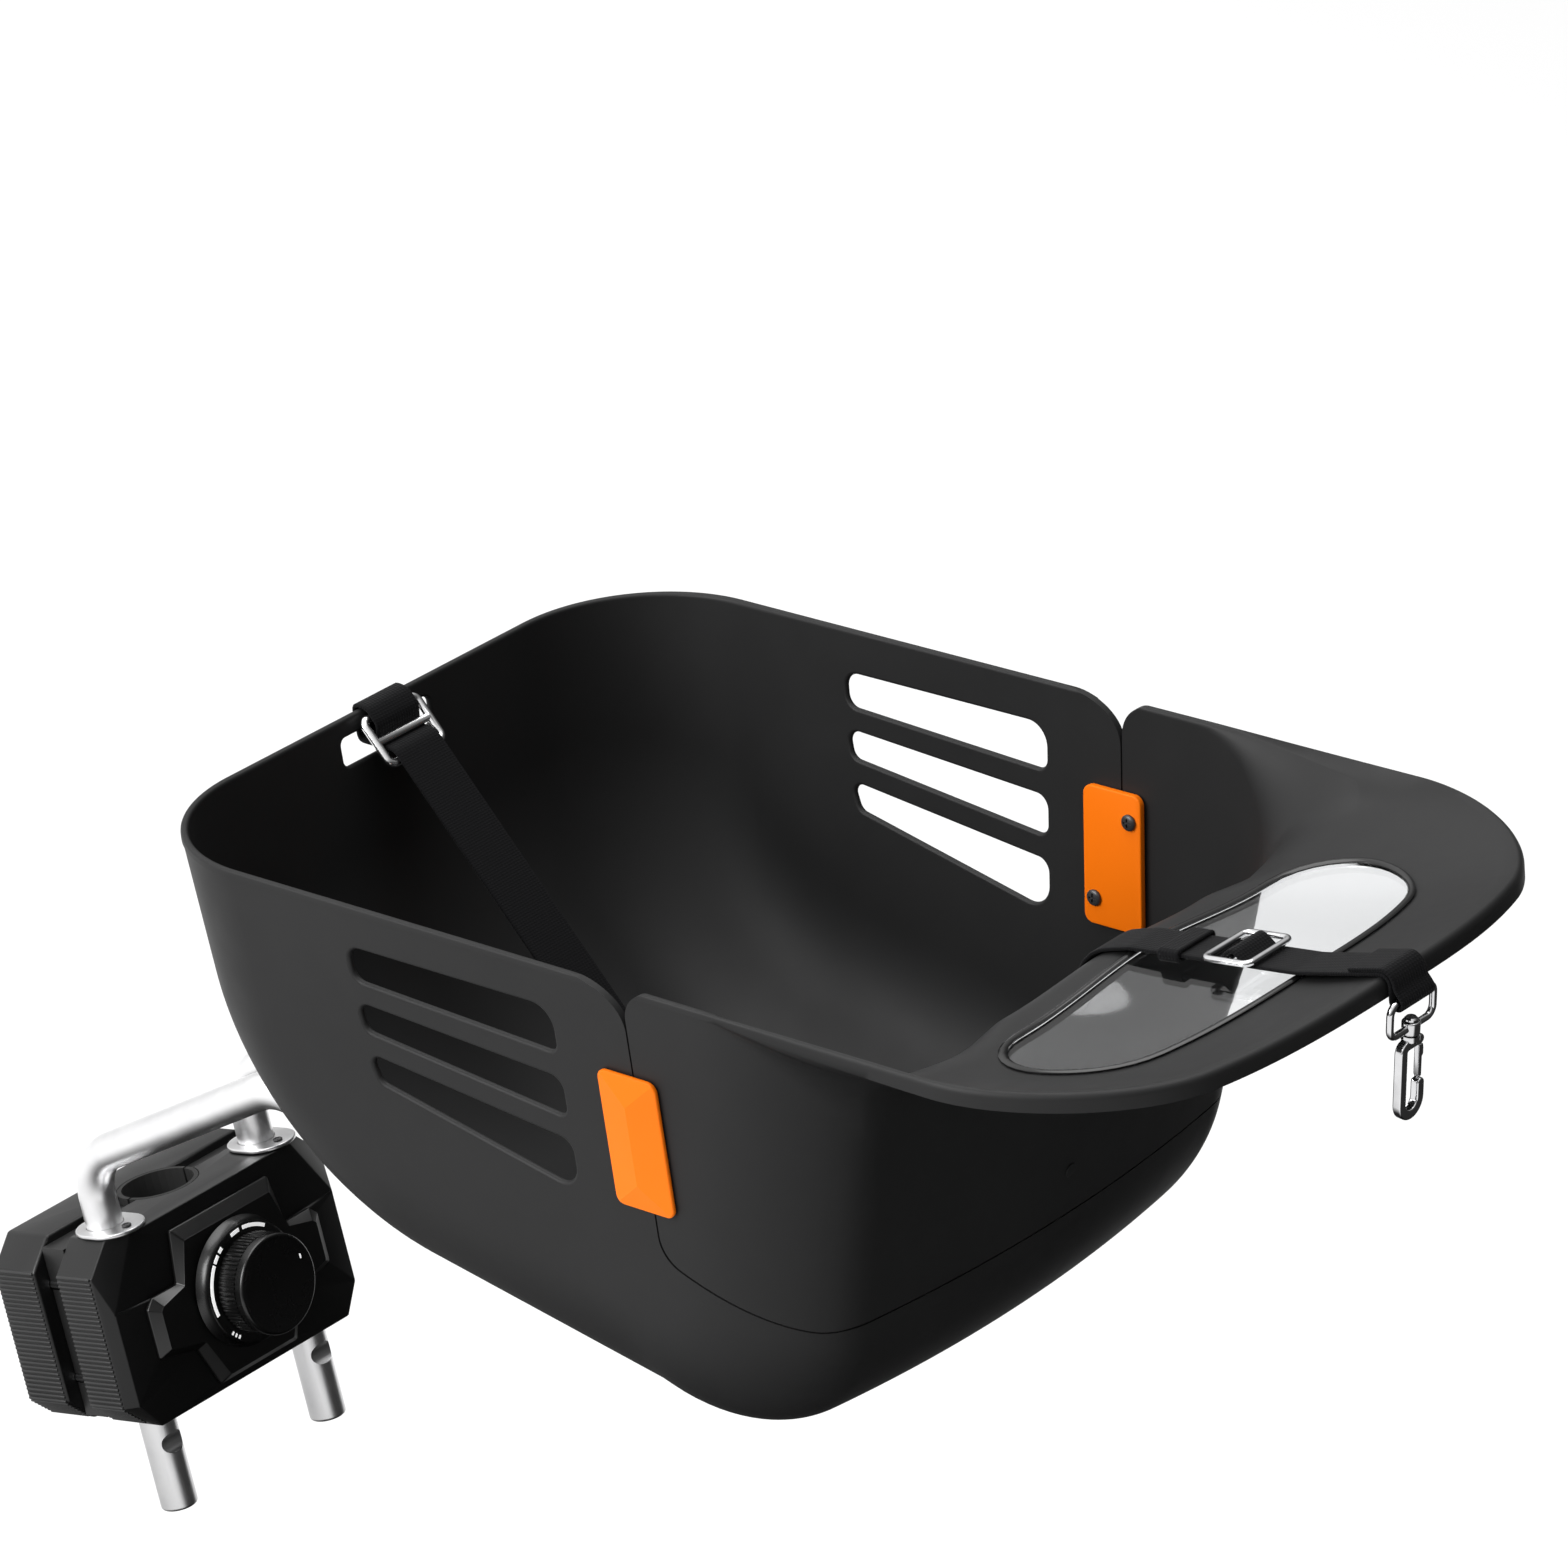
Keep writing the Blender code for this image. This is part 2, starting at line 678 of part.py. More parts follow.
def shell_mesh():
    """The tub and bonnet as one closed skin of the wall's thickness."""
    turns = plan_turns(AROUND)
    edges, tubs = rim_radius(turns)
    inner = wall_curves(turns, WALL)
    outer = wall_curves(turns, 0.0)
    columns = []
    for index, turn in enumerate(turns):
        edge = edges[index]
        overhang = edge - tubs[index]
        if overhang < GAP:
            overhang = 0.0
        edge_y = edge * math.sin(turn)
        if math.cos(turn) <= 0:
            edge_y = TUB_HALF_WIDTH
        cut = section(edge, overhang, edge_y, outer[0][index], outer[1][index], True)
        low_r, low_z = spread(cut, UNDER_LIP_ROWS, WALL_ROWS)
        cut = section(edge, overhang, edge_y, inner[0][index], inner[1][index], False)
        high_r, high_z = spread(cut, LIP_ROWS, WALL_ROWS)
        top, roll = cut[2], cut[3]
        nick = roll * (1 - math.sqrt(0.5))
        column_r = np.r_[low_r[::-1], edge, edge - nick, high_r]
        column_z = np.r_[low_z[::-1], top - roll, top - nick, high_z]
        columns.append((column_r, column_z))
    points = [(TUB_MIDDLE, 0.0, columns[0][1][0])]
    rows = len(columns[0][0]) - 2
    for row in range(1, rows + 1):
        for turn, (column_r, column_z) in zip(turns, columns):
            x = TUB_MIDDLE + column_r[row] * math.cos(turn)
            points.append((x, column_r[row] * math.sin(turn), column_z[row]))
    points.append((TUB_MIDDLE, 0.0, columns[0][1][-1]))
    faces = []
    for side in range(AROUND):
        after = (side + 1) % AROUND
        faces.append([0, 1 + side, 1 + after])
        last = 1 + (rows - 1) * AROUND
        faces.append([last + side, last + after, len(points) - 1])
        for row in range(rows - 1):
            low = 1 + row * AROUND
            high = low + AROUND
            faces.append([low + side, low + after, high + after, high + side])
    return mesh_of_points(points, faces)


def plan_outline(distance, centre, count, grow=0.0):
    """The closed outline in plan on which distance equals grow."""
    turns = np.linspace(0, math.tau, count, endpoint=False)
    heading = np.stack([np.cos(turns), np.sin(turns), 0 * turns], -1)
    low = np.zeros(count)
    high = np.full(count, REACH)
    for _ in range(30):
        middle = (low + high) / 2
        spots = np.array((centre, 0.0, 0.0)) + heading * middle[:, None]
        inside = distance(spots) < grow
        low = np.where(inside, middle, low)
        high = np.where(inside, high, middle)
    return [(centre + r * c[0], r * c[1]) for r, c in zip(low, heading)]


# Shells and window
shell_data = shell_mesh()
tree = BVHTree.FromPolygons(
    [vertex.co for vertex in shell_data.vertices],
    [list(face.vertices) for face in shell_data.polygons],
)
DOWN = Vector((0, 0, -1))


def top_at(x, y=0.0):
    """Height of the moulding's upper face at a place in plan."""
    spot = tree.ray_cast(Vector((x, y, TUB_DEPTH)), DOWN)[0]
    return spot.z


def seam_region(gap, run, drop):
    """Outline in X and Z of all that lies ahead of the seam and above it."""
    top = LIP_CROWN + OVERRUN
    line_x = SEAM_X + gap
    corner_depth = TUB_DEPTH * SEAM_CORNER_SHARE
    front_depth = TUB_DEPTH * SEAM_FRONT_SHARE
    corner = []
    for step in range(7):
        turn = math.pi / 2 * step / 6
        if gap < 0:
            corner.append((line_x - run * (1 - math.sin(turn)), -drop * (1 - math.cos(turn))))
        else:
            corner.append((line_x + run * (1 - math.sin(turn)), -drop * (1 - math.cos(turn))))
    lower = rounded(
        [
            (line_x, -corner_depth / 2),
            (line_x, -corner_depth + gap),
            (SEAM_FRONT_X, -front_depth + gap),
            (LIP_FRONT + OVERRUN, -front_depth + gap),
        ],
        [0, SEAM_CORNER_RADIUS, SEAM_FRONT_RADIUS, 0],
        6,
    )
    first = (corner[0][0], top)
    return [first] + corner + [tuple(spot) for spot in lower] + [(LIP_FRONT + OVERRUN, top)]


SIDE_CUT = TUB_HALF_WIDTH + OVERRUN
ahead_of_rear = cutter(
    "cut_ahead_of_seam",
    prism(seam_region(-SEAM_GAP / 2, NOTCH_RUN, NOTCH_DROP), -SIDE_CUT, SIDE_CUT, "XZY"),
    basket,
)
keep_for_front = cutter(
    "keep_ahead_of_seam",
    prism(seam_region(SEAM_GAP / 2, WING_RUN, WING_DROP), -SIDE_CUT, SIDE_CUT, "XZY"),
    basket,
)

rear_shell = place("rear_shell", shell_data, SHELL, basket)
cut_skin(rear_shell, ahead_of_rear)
front_shell = place("front_shell", shell_data.copy(), None, basket)
cut_skin(front_shell, keep_for_front, "INTERSECT")

SLOT_FRONT_RADII = (SLOT_TOP_RADIUS, SLOT_MIDDLE_RADIUS, SLOT_MIDDLE_RADIUS)
SLOT_FOOT_RADII = (SLOT_SMALL_RADIUS, SLOT_SMALL_RADIUS, SLOT_BOTTOM_RADIUS)
for number, depths in enumerate(SLOT_DEPTHS):
    radii = [
        SLOT_SMALL_RADIUS,
        SLOT_FRONT_RADII[number],
        SLOT_FOOT_RADII[number],
        SLOT_SMALL_RADIUS,
    ]
    ends = (SLOT_REARS[number][0], SLOT_FRONT, SLOT_FRONT, SLOT_REARS[number][1])
    outline = rounded([(x, -depth) for x, depth in zip(ends, depths)], radii, 4)
    slot = prism(outline, -SIDE_CUT, SIDE_CUT, "XZY")
    cut_skin(rear_shell, cutter("cut_slot_%d" % (number + 1), slot, basket))

half = STRAP_SLOT_WIDTH / 2
low = -STRAP_SLOT_TOP - STRAP_SLOT_HEIGHT
outline = rounded(
    [(-half, low), (half, low), (half, -STRAP_SLOT_TOP), (-half, -STRAP_SLOT_TOP)],
    STRAP_SLOT_RADIUS,
    3,
)
slot = prism(outline, -OVERRUN, 2 * OVERRUN, "YZX")
cut_skin(rear_shell, cutter("cut_strap_slot", slot, basket))

WINDOW_MIDDLE = (WINDOW_REAR + WINDOW_FRONT) / 2
WINDOW_LOW = -KNEE_DROP - OVERRUN
opening = prism(
    plan_outline(window_distance, WINDOW_MIDDLE, 56),
    WINDOW_LOW,
    LIP_CROWN + OVERRUN,
)
cut_skin(front_shell, cutter("cut_window", opening, basket))

pane_region = prism(
    plan_outline(window_distance, WINDOW_MIDDLE, 56, -GAP),
    WINDOW_LOW,
    LIP_CROWN + OVERRUN,
)
bonnet_pane = place("bonnet_pane", shell_data.copy(), None, basket)
bonnet_pane.data.materials.clear()
bonnet_pane.data.materials.append(PANE)
cut_skin(bonnet_pane, cutter("keep_window", pane_region, basket), "INTERSECT")

loops = []
inner_edge = plan_outline(window_distance, WINDOW_MIDDLE, 56, -BEAD_WIDTH / 2)
outer_edge = plan_outline(window_distance, WINDOW_MIDDLE, 56, BEAD_WIDTH / 2)
for one, other in zip(inner_edge, outer_edge):
    base = [top_at(*one) + BEAD_GAP, top_at(*other) + BEAD_GAP]
    middle = [(a + b) / 2 for a, b in zip(one, other)]
    crest = max(base[0], base[1], top_at(*middle) + BEAD_GAP) + BEAD_HEIGHT
    third = [a + (b - a) * 0.25 for a, b in zip(one, other)]
    fourth = [a + (b - a) * 0.75 for a, b in zip(one, other)]
    loops.append([(*one, base[0]), (*other, base[1]), (*fourth, crest), (*third, crest)])
place("pane_bead", rings(loops, True), BEAD, basket)

# Side clips, with their keepers and screws
WALL_LEAN = math.radians(SIDE_LEAN)
CLIP_Y = TUB_HALF_WIDTH - slope(SIDE_LEAN) * CLIP_DEPTH
half_w = CLIP_WIDTH / 2
half_h = CLIP_HEIGHT / 2
clip_outline = rounded(
    [(-half_w, -half_h), (half_w, -half_h), (half_w, half_h), (-half_w, half_h)],
    CLIP_CORNER,
    3,
)


def clip_plate():
    """The outer plate: a rectangle with a hip roof. X forward, Y up, Z out."""
    count = len(clip_outline)
    points = [(x, y, 0.0) for x, y in clip_outline]
    points += [(x, y, CLIP_EDGE) for x, y in clip_outline]
    ridge = half_h - half_w
    points += [(0.0, -ridge, CLIP_RIDGE), (0.0, ridge, CLIP_RIDGE)]
    low, high = 2 * count, 2 * count + 1
    faces = [list(range(count))]
    for index in range(count):
        after = (index + 1) % count
        faces.append([index, after, count + after, count + index])
        one, other = points[count + index], points[count + after]
        side = abs(one[0]) + abs(other[0]) > 2 * half_w - CLIP_CORNER
        long_edge = side and one[1] * other[1] < 0
        if long_edge:
            near, far = (low, high) if one[1] < 0 else (high, low)
            faces.append([count + index, near, far, count + after])
        else:
            faces.append([count + index, low if one[1] < 0 else high, count + after])
    return mesh_of_points(points, faces)


for side, name in ((1, "left"), (-1, "right")):
    # X stays forward, Z points out through the wall, Y is up along it
    out = Vector((0, side * math.cos(WALL_LEAN), -math.sin(WALL_LEAN)))
    along = Vector((side * 1.0, 0, 0))
    up = out.cross(along)
    frame = Matrix.Identity(4)
    for row in range(3):
        frame[row][0], frame[row][1], frame[row][2] = along[row], up[row], out[row]
    frame.translation = Vector((CLIP_X, side * CLIP_Y, -CLIP_DEPTH))
    if up.z < 0:
        frame = frame @ Matrix.Rotation(math.pi, 4, "Z")
    outside = Matrix.Translation((0, 0, GAP))
    clip = place("clip_" + name, clip_plate(), ORANGE, basket, frame @ outside)
    under = -WALL - KEEPER_LIFT - KEEPER_THICKNESS
    keeper_mesh = prism(clip_outline, under, under + KEEPER_THICKNESS)
    keeper = place("clip_keeper_" + name, keeper_mesh, ORANGE, basket, frame)
    for number, spot in enumerate(((-1, 1), (1, -1))):
        shift = Matrix.Translation((spot[0] * CLIP_SCREW_X, spot[1] * CLIP_SCREW_Z, 0))
        profile = [
            (0, 0.0),
            (CLIP_SCREW_RADIUS, 0.0),
            (CLIP_SCREW_RADIUS, under - GAP),
            (CLIP_SCREW_HEAD_RADIUS, under - GAP),
            (CLIP_SCREW_HEAD_RADIUS, under - GAP - CLIP_SCREW_HEAD),
            (0, under - GAP - CLIP_SCREW_HEAD),
        ]
        label = "%s_%d" % (name, number + 1)
        place("clip_screw_" + label, lathe(profile, 12), STEEL, basket, frame @ shift)
        drill = [
            (0, OVERRUN / 4),
            (CLIP_SCREW_RADIUS + GAP, OVERRUN / 4),
            (CLIP_SCREW_RADIUS + GAP, under - OVERRUN / 4),
            (0, under - OVERRUN / 4),
        ]
        hole = cutter("cut_clip_" + label, lathe(drill, 12), basket, frame @ shift)
        boolean(keeper, hole)
        shell_side = spot[0] * (1 if frame.col[0].x > 0 else -1)
        cut_skin(rear_shell if shell_side < 0 else front_shell, hole)

# Floor frame: its X runs forward along the floor's outer face and Z is square to it
floor_frame_matrix = (
    Matrix.Translation((FLOOR_REFERENCE, 0, -TUB_DEPTH)) @ rotation_y(FLOOR_SLOPE)
)
floor_frame = empty("floor_frame", floor_frame_matrix, basket)


def floor_x(x):
    """Where a distance forward along the rim falls along the floor."""
    return (x - FLOOR_REFERENCE) / math.cos(math.radians(FLOOR_SLOPE))


# Support tubes: leg, arm, and the run under the floor
TUBE_DROP = GAP + SADDLE_WEB + LEG_RADIUS
to_world = basket_turn @ floor_frame_matrix
line_point = to_world @ Vector((0, 0, -TUBE_DROP))
line_heading = (to_world.to_3x3() @ Vector((1, 0, 0))).normalized()
leg_foot = bracket_turn @ Vector((LEG_F, 0, -LEG_BOTTOM))
leg_corner = bracket_turn @ Vector((LEG_F, 0, LEG_CORNER))
arm_heading = Vector((math.cos(math.radians(ARM_RISE)), 0, math.sin(math.radians(ARM_RISE))))
gap_vector = line_point - leg_corner
cross = arm_heading.x * line_heading.z - arm_heading.z * line_heading.x
arm_length = (gap_vector.x * line_heading.z - gap_vector.z * line_heading.x) / cross
arm_corner = leg_corner + arm_heading * arm_length
arm_end = to_world @ Vector((floor_x(ARM_END), 0, -TUBE_DROP))


def bent_path(corners, radii, steps=6):
    """An open path through corners, each bend rounded."""
    path = [Vector(corners[0])]
    for index in range(1, len(corners) - 1):
        corner = Vector(corners[index])
        before = (Vector(corners[index - 1]) - corner).normalized()
        after = (Vector(corners[index + 1]) - corner).normalized()
        half = before.angle(after) / 2
        radius = radii[index - 1]
        reach = radius / math.tan(half)
        inward = (before + after).normalized()
        centre = corner + inward * (radius / math.sin(half))
        start = corner + before * reach - centre
        end = corner + after * reach - centre
        whole = start.angle(end)
        for step in range(steps + 1):
            share = step / steps
            one = math.sin((1 - share) * whole) / math.sin(whole)
            other = math.sin(share * whole) / math.sin(whole)
            path.append(centre + start * one + end * other)
    path.append(Vector(corners[-1]))
    return path


leg_axis = (leg_corner - leg_foot).normalized()
tube_path = bent_path([leg_foot, leg_corner, arm_corner, arm_end], [LEG_BEND, ARM_BEND])


def tube_mesh():
    loops = []
    across = Vector((0, 1, 0))
    for index, point in enumerate(tube_path):
        before = tube_path[max(index - 1, 0)]
        after = tube_path[min(index + 1, len(tube_path) - 1)]
        along = (after - before).normalized()
        out = along.cross(across).normalized()
        spots = [(point, LEG_RADIUS)]
        if index == 0:
            small = LEG_RADIUS - LEG_CHAMFER
            spots = [(point, small), (point + along * LEG_CHAMFER, LEG_RADIUS)]
        for spot, radius in spots:
            loop = []
            for side in range(20):
                turn = math.tau * side / 20
                shift = out * math.cos(turn) + across * math.sin(turn)
                loop.append(spot + shift * radius)
            loops.append(loop)
    return rings(loops)


notch_profile = [
    (0, -LEG_RADIUS - OVERRUN / 4),
    (LEG_NOTCH_RADIUS, -LEG_RADIUS - OVERRUN / 4),
    (LEG_NOTCH_RADIUS, LEG_RADIUS + OVERRUN / 4),
    (0, LEG_RADIUS + OVERRUN / 4),
]
cap_profile = [
    (0, GAP),
    (LEG_RADIUS, GAP),
    (LEG_RADIUS, GAP + TUBE_CAP / 2),
    (LEG_RADIUS - LEG_CHAMFER, GAP + TUBE_CAP),
    (0, GAP + TUBE_CAP),
]
across_y = Matrix.Rotation(math.pi / 2, 4, "X")
for side, name in ((1, "left"), (-1, "right")):
    shift = Matrix.Translation((0, side * LEG_Y, 0))
    tube = place("support_tube_" + name, tube_mesh(), TUBE, carrier, shift)
    notch_at = bracket_turn @ Matrix.Translation(
        (
            LEG_F + LEG_RADIUS + LEG_NOTCH_RADIUS - LEG_NOTCH_DEPTH,
            side * LEG_Y,
            -LEG_NOTCH,
        )
    )
    notch = cutter("cut_notch_" + name, lathe(notch_profile, 20), carrier, notch_at @ across_y)
    boolean(tube, notch)
    cap_at = floor_frame_matrix @ Matrix.Translation((floor_x(ARM_END), side * LEG_Y, -TUBE_DROP))
    cap_at = cap_at @ Matrix.Rotation(math.pi / 2, 4, "Y")
    place("tube_cap_" + name, lathe(cap_profile, 20), KNOB, basket, cap_at)

# Saddles and their bolts
SADDLE_HEIGHT = 2 * (LEG_RADIUS + SADDLE_WEB)
bore_profile = [
    (0, -SADDLE_LENGTH),
    (LEG_RADIUS + GAP, -SADDLE_LENGTH),
    (LEG_RADIUS + GAP, SADDLE_LENGTH),
    (0, SADDLE_LENGTH),
]
along_x = Matrix.Rotation(math.pi / 2, 4, "Y")
for name, middle in (("rear", SADDLE_REAR_X), ("front", SADDLE_FRONT_X)):
    x = floor_x(middle)
    corner = SADDLE_LENGTH / 2
    block_outline = [(x - corner, -SADDLE_HALF_WIDTH), (x + corner, -SADDLE_HALF_WIDTH)]
    block_outline += [(x + corner, SADDLE_HALF_WIDTH), (x - corner, SADDLE_HALF_WIDTH)]
    saddle_mesh = prism(block_outline, -GAP - SADDLE_HEIGHT, -GAP)
    saddle = place("saddle_" + name, saddle_mesh, BLOCK, floor_frame)
    bevel(saddle, SADDLE_BEVEL, 1)
    for side, hand in ((1, "left"), (-1, "right")):
        bore_at = Matrix.Translation((x, side * LEG_Y, -TUBE_DROP)) @ along_x
        label = name + "_" + hand
        boolean(saddle, cutter("cut_bore_" + label, lathe(bore_profile, 20), floor_frame, bore_at))
        bolt_top = WALL + GAP
        bolt_low = -2 * GAP - SADDLE_HEIGHT
        profile = [
            (0, bolt_top + SADDLE_BOLT_HEAD),
            (SADDLE_BOLT_HEAD_RADIUS, bolt_top + SADDLE_BOLT_HEAD),
            (SADDLE_BOLT_HEAD_RADIUS, bolt_top),
            (SADDLE_BOLT_RADIUS, bolt_top),
            (SADDLE_BOLT_RADIUS, bolt_low),
            (SADDLE_BOLT_HEAD_RADIUS, bolt_low),
            (SADDLE_BOLT_HEAD_RADIUS, bolt_low - SADDLE_NUT),
            (0, bolt_low - SADDLE_NUT),
        ]
        bolt_at = Matrix.Translation((x, side * SADDLE_BOLT_Y, 0))
        place("saddle_bolt_" + label, lathe(profile, 12), STEEL, floor_frame, bolt_at)
        drill = [
            (0, OVERRUN),
            (SADDLE_BOLT_RADIUS + GAP, OVERRUN),
            (SADDLE_BOLT_RADIUS + GAP, -SADDLE_HEIGHT - OVERRUN),
            (0, -SADDLE_HEIGHT - OVERRUN),
        ]
        hole = cutter("cut_bolt_" + label, lathe(drill, 16), floor_frame, bolt_at)
        boolean(saddle, hole)
        cut_skin(rear_shell, hole)

# Bracket block
block_section = [
    (-BLOCK_HALF_WIDTH, -BLOCK_BOTTOM + BLOCK_CHAMFER),
    (-BLOCK_HALF_WIDTH + BLOCK_CHAMFER, -BLOCK_BOTTOM),
    (BLOCK_HALF_WIDTH - BLOCK_CHAMFER, -BLOCK_BOTTOM),
    (BLOCK_HALF_WIDTH, -BLOCK_BOTTOM + BLOCK_CHAMFER),
    (BLOCK_HALF_WIDTH, BLOCK_TOP - BLOCK_CHAMFER),
    (BLOCK_HALF_WIDTH - BLOCK_CHAMFER, BLOCK_TOP),
    (-BLOCK_HALF_WIDTH + BLOCK_CHAMFER, BLOCK_TOP),
    (-BLOCK_HALF_WIDTH, BLOCK_TOP - BLOCK_CHAMFER),
]
face_half = BLOCK_HALF_WIDTH - FACE_SIDE_INSET
face_section = [
    (-face_half, -BLOCK_BOTTOM + FACE_FOOT_HEIGHT),
    (-BLOCK_HALF_WIDTH + FACE_FOOT_WIDTH, -BLOCK_BOTTOM),
    (BLOCK_HALF_WIDTH - FACE_FOOT_WIDTH, -BLOCK_BOTTOM),
    (face_half, -BLOCK_BOTTOM + FACE_FOOT_HEIGHT),
    (face_half, BLOCK_TOP - FACE_CHAMFER_HEIGHT),
    (BLOCK_HALF_WIDTH - FACE_CHAMFER_WIDTH, BLOCK_TOP),
    (-BLOCK_HALF_WIDTH + FACE_CHAMFER_WIDTH, BLOCK_TOP),
    (-face_half, BLOCK_TOP - FACE_CHAMFER_HEIGHT),
]
levels = [
    (HOUSING_BACK, block_section),
    (BLOCK_FRONT - FACE_SLOPE_RUN, block_section),
    (BLOCK_FRONT, face_section),
]
housing_mesh = rings([[(f, y, u) for y, u in outline] for f, outline in levels])
housing = place("front_housing", housing_mesh, BLOCK, bracket)
jaw_mesh = prism(block_section, -JAW_BACK, -JAW_FRONT, "YZX")
jaw = place("rear_jaw", jaw_mesh, BLOCK, bracket)
bevel(jaw, BLOCK_BEVEL, 1)
plate_half = BLOCK_HALF_WIDTH - MID_PLATE_INSET
plate_top = BLOCK_TOP - MID_PLATE_INSET / 2
plate_low = -BLOCK_BOTTOM + MID_PLATE_INSET / 2
mid_plates = []
for side, name in ((1, "left"), (-1, "right")):
    near, far = sorted((side * TUBE_RADIUS, side * plate_half))
    plate_outline = [(near, plate_low), (far, plate_low), (far, plate_top), (near, plate_top)]
    plate_mesh = prism(plate_outline, -JAW_FRONT + GAP, HOUSING_BACK - GAP, "YZX")
    mid_plates.append(place("mid_plate_" + name, plate_mesh, COVER, bracket))

BORE_RADIUS = TUBE_RADIUS + LINER_THICKNESS + GAP
BLOCK_REACH = BLOCK_TOP + OVERRUN
bore_profile = [
    (0, -BLOCK_REACH),
    (BORE_RADIUS, -BLOCK_REACH),
    (BORE_RADIUS, BLOCK_REACH),
    (0, BLOCK_REACH),
]
tube_bore = cutter("cut_tube_bore", lathe(bore_profile, 40), bracket)
for piece in (housing, jaw, *mid_plates):
    boolean(piece, tube_bore)

leg_profile = [
    (0, -BLOCK_REACH),
    (LEG_RADIUS + GAP, -BLOCK_REACH),
    (LEG_RADIUS + GAP, BLOCK_REACH),
    (0, BLOCK_REACH),
]
for side, name in ((1, "left"), (-1, "right")):
    leg_at = Matrix.Translation((LEG_F, side * LEG_Y, 0))
    boolean(housing, cutter("cut_leg_" + name, lathe(leg_profile, 20), bracket, leg_at))


def liner_mesh(direction):
    """Half a sleeve, ahead of the split or behind it."""
    outline = []
    for radius, order in ((TUBE_RADIUS + LINER_THICKNESS, 1), (TUBE_RADIUS, -1)):
        edge = math.acos(LINER_SPLIT / radius)
        turns = [edge * (2 * step / 16 - 1) for step in range(17)][::order]
        for turn in turns:
            outline.append((direction * radius * math.cos(turn), radius * math.sin(turn)))
    return prism(outline, -BLOCK_BOTTOM, BLOCK_TOP)


place("liner_front", liner_mesh(1), RUBBER, bracket)
place("liner_rear", liner_mesh(-1), RUBBER, bracket)

bolt_profile = [
    (0, -JAW_BACK),
    (JAW_BOLT_HEAD_RADIUS, -JAW_BACK),
    (JAW_BOLT_HEAD_RADIUS, -JAW_BACK + JAW_BOLT_HEAD),
    (JAW_BOLT_RADIUS, -JAW_BACK + JAW_BOLT_HEAD),
    (JAW_BOLT_RADIUS, HOUSING_BACK + JAW_BOLT_DEPTH),
    (0, HOUSING_BACK + JAW_BOLT_DEPTH),
]
drill_profile = [
    (0, -JAW_BACK - OVERRUN),
    (JAW_BOLT_HEAD_RADIUS + GAP, -JAW_BACK - OVERRUN),
    (JAW_BOLT_HEAD_RADIUS + GAP, -JAW_BACK + JAW_BOLT_HEAD + GAP),
    (JAW_BOLT_RADIUS + GAP, -JAW_BACK + JAW_BOLT_HEAD + GAP),
    (JAW_BOLT_RADIUS + GAP, HOUSING_BACK + JAW_BOLT_DEPTH + GAP),
    (0, HOUSING_BACK + JAW_BOLT_DEPTH + GAP),
]
bolt_y = BLOCK_HALF_WIDTH - JAW_BOLT_INSET
for side, hand in ((1, "left"), (-1, "right")):
    for level, name in ((1, "upper"), (-1, "lower")):
        bolt_at = Matrix.Translation((0, side * bolt_y, level * JAW_BOLT_U)) @ along_x
        label = name + "_" + hand
        place("jaw_bolt_" + label, lathe(bolt_profile, 14), STEEL, bracket, bolt_at)
        hole = cutter("cut_jaw_" + label, lathe(drill_profile, 14), bracket, bolt_at)
        for piece in (jaw, mid_plates[0 if side > 0 else 1], housing):
            boolean(piece, hole)

# Clamp bar in its pocket behind the cover plate
BAR_BACK = LEG_F + LEG_RADIUS + GAP
bar_half = BLOCK_HALF_WIDTH - BAR_INSET
pocket_half = bar_half + BAR_POCKET_GAP
pocket_high = BAR_HALF_HEIGHT + BAR_POCKET_GAP
pocket_outline = [(-pocket_half, -pocket_high), (pocket_half, -pocket_high)]
pocket_outline += [(pocket_half, pocket_high), (-pocket_half, pocket_high)]
pocket_mesh = prism(pocket_outline, BAR_BACK - GAP, BLOCK_FRONT + OVERRUN, "YZX")
boolean(housing, cutter("cut_pocket", pocket_mesh, bracket))
bar_outline = [(-bar_half, -BAR_HALF_HEIGHT), (bar_half, -BAR_HALF_HEIGHT)]
bar_outline += [(bar_half, BAR_HALF_HEIGHT), (-bar_half, BAR_HALF_HEIGHT)]
bar_mesh = prism(bar_outline, BAR_BACK, BAR_BACK + BAR_THICKNESS, "YZX")
place("clamp_bar", bar_mesh, STEEL, bracket)

# Cover plate with its collar
cover_outline = []
for half_width, height in (
    (COVER_FOOT_HALF, -COVER_FOOT),
    (COVER_HIP_HALF, -COVER_HIP),
    (COVER_SIDE_HALF, -COVER_SIDE_BOTTOM),
    (COVER_SIDE_HALF, COVER_SIDE_TOP),
    (COVER_SHOULDER_HALF, COVER_SHOULDER),
    (COVER_WAIST_HALF, COVER_SHOULDER),
    (COVER_TOP_HALF, COVER_TOP),
):
    cover_outline.append((half_width, height))
cover_outline += [(-y, u) for y, u in cover_outline[::-1]]


def inset(outline, width):
    """A closed outline moved inward by a width on every side."""
    moved = []
    for index, spot in enumerate(outline):
        spot = Vector(spot)
        before = (spot - Vector(outline[index - 1])).normalized()
        after = (Vector(outline[(index + 1) % len(outline)]) - spot).normalized()
        normal = Vector((-before.y - after.y, before.x + after.x)).normalized()
        reach = width / max(normal.dot(Vector((-before.y, before.x))), 0.35)
        moved.append(spot + normal * reach)
    return moved


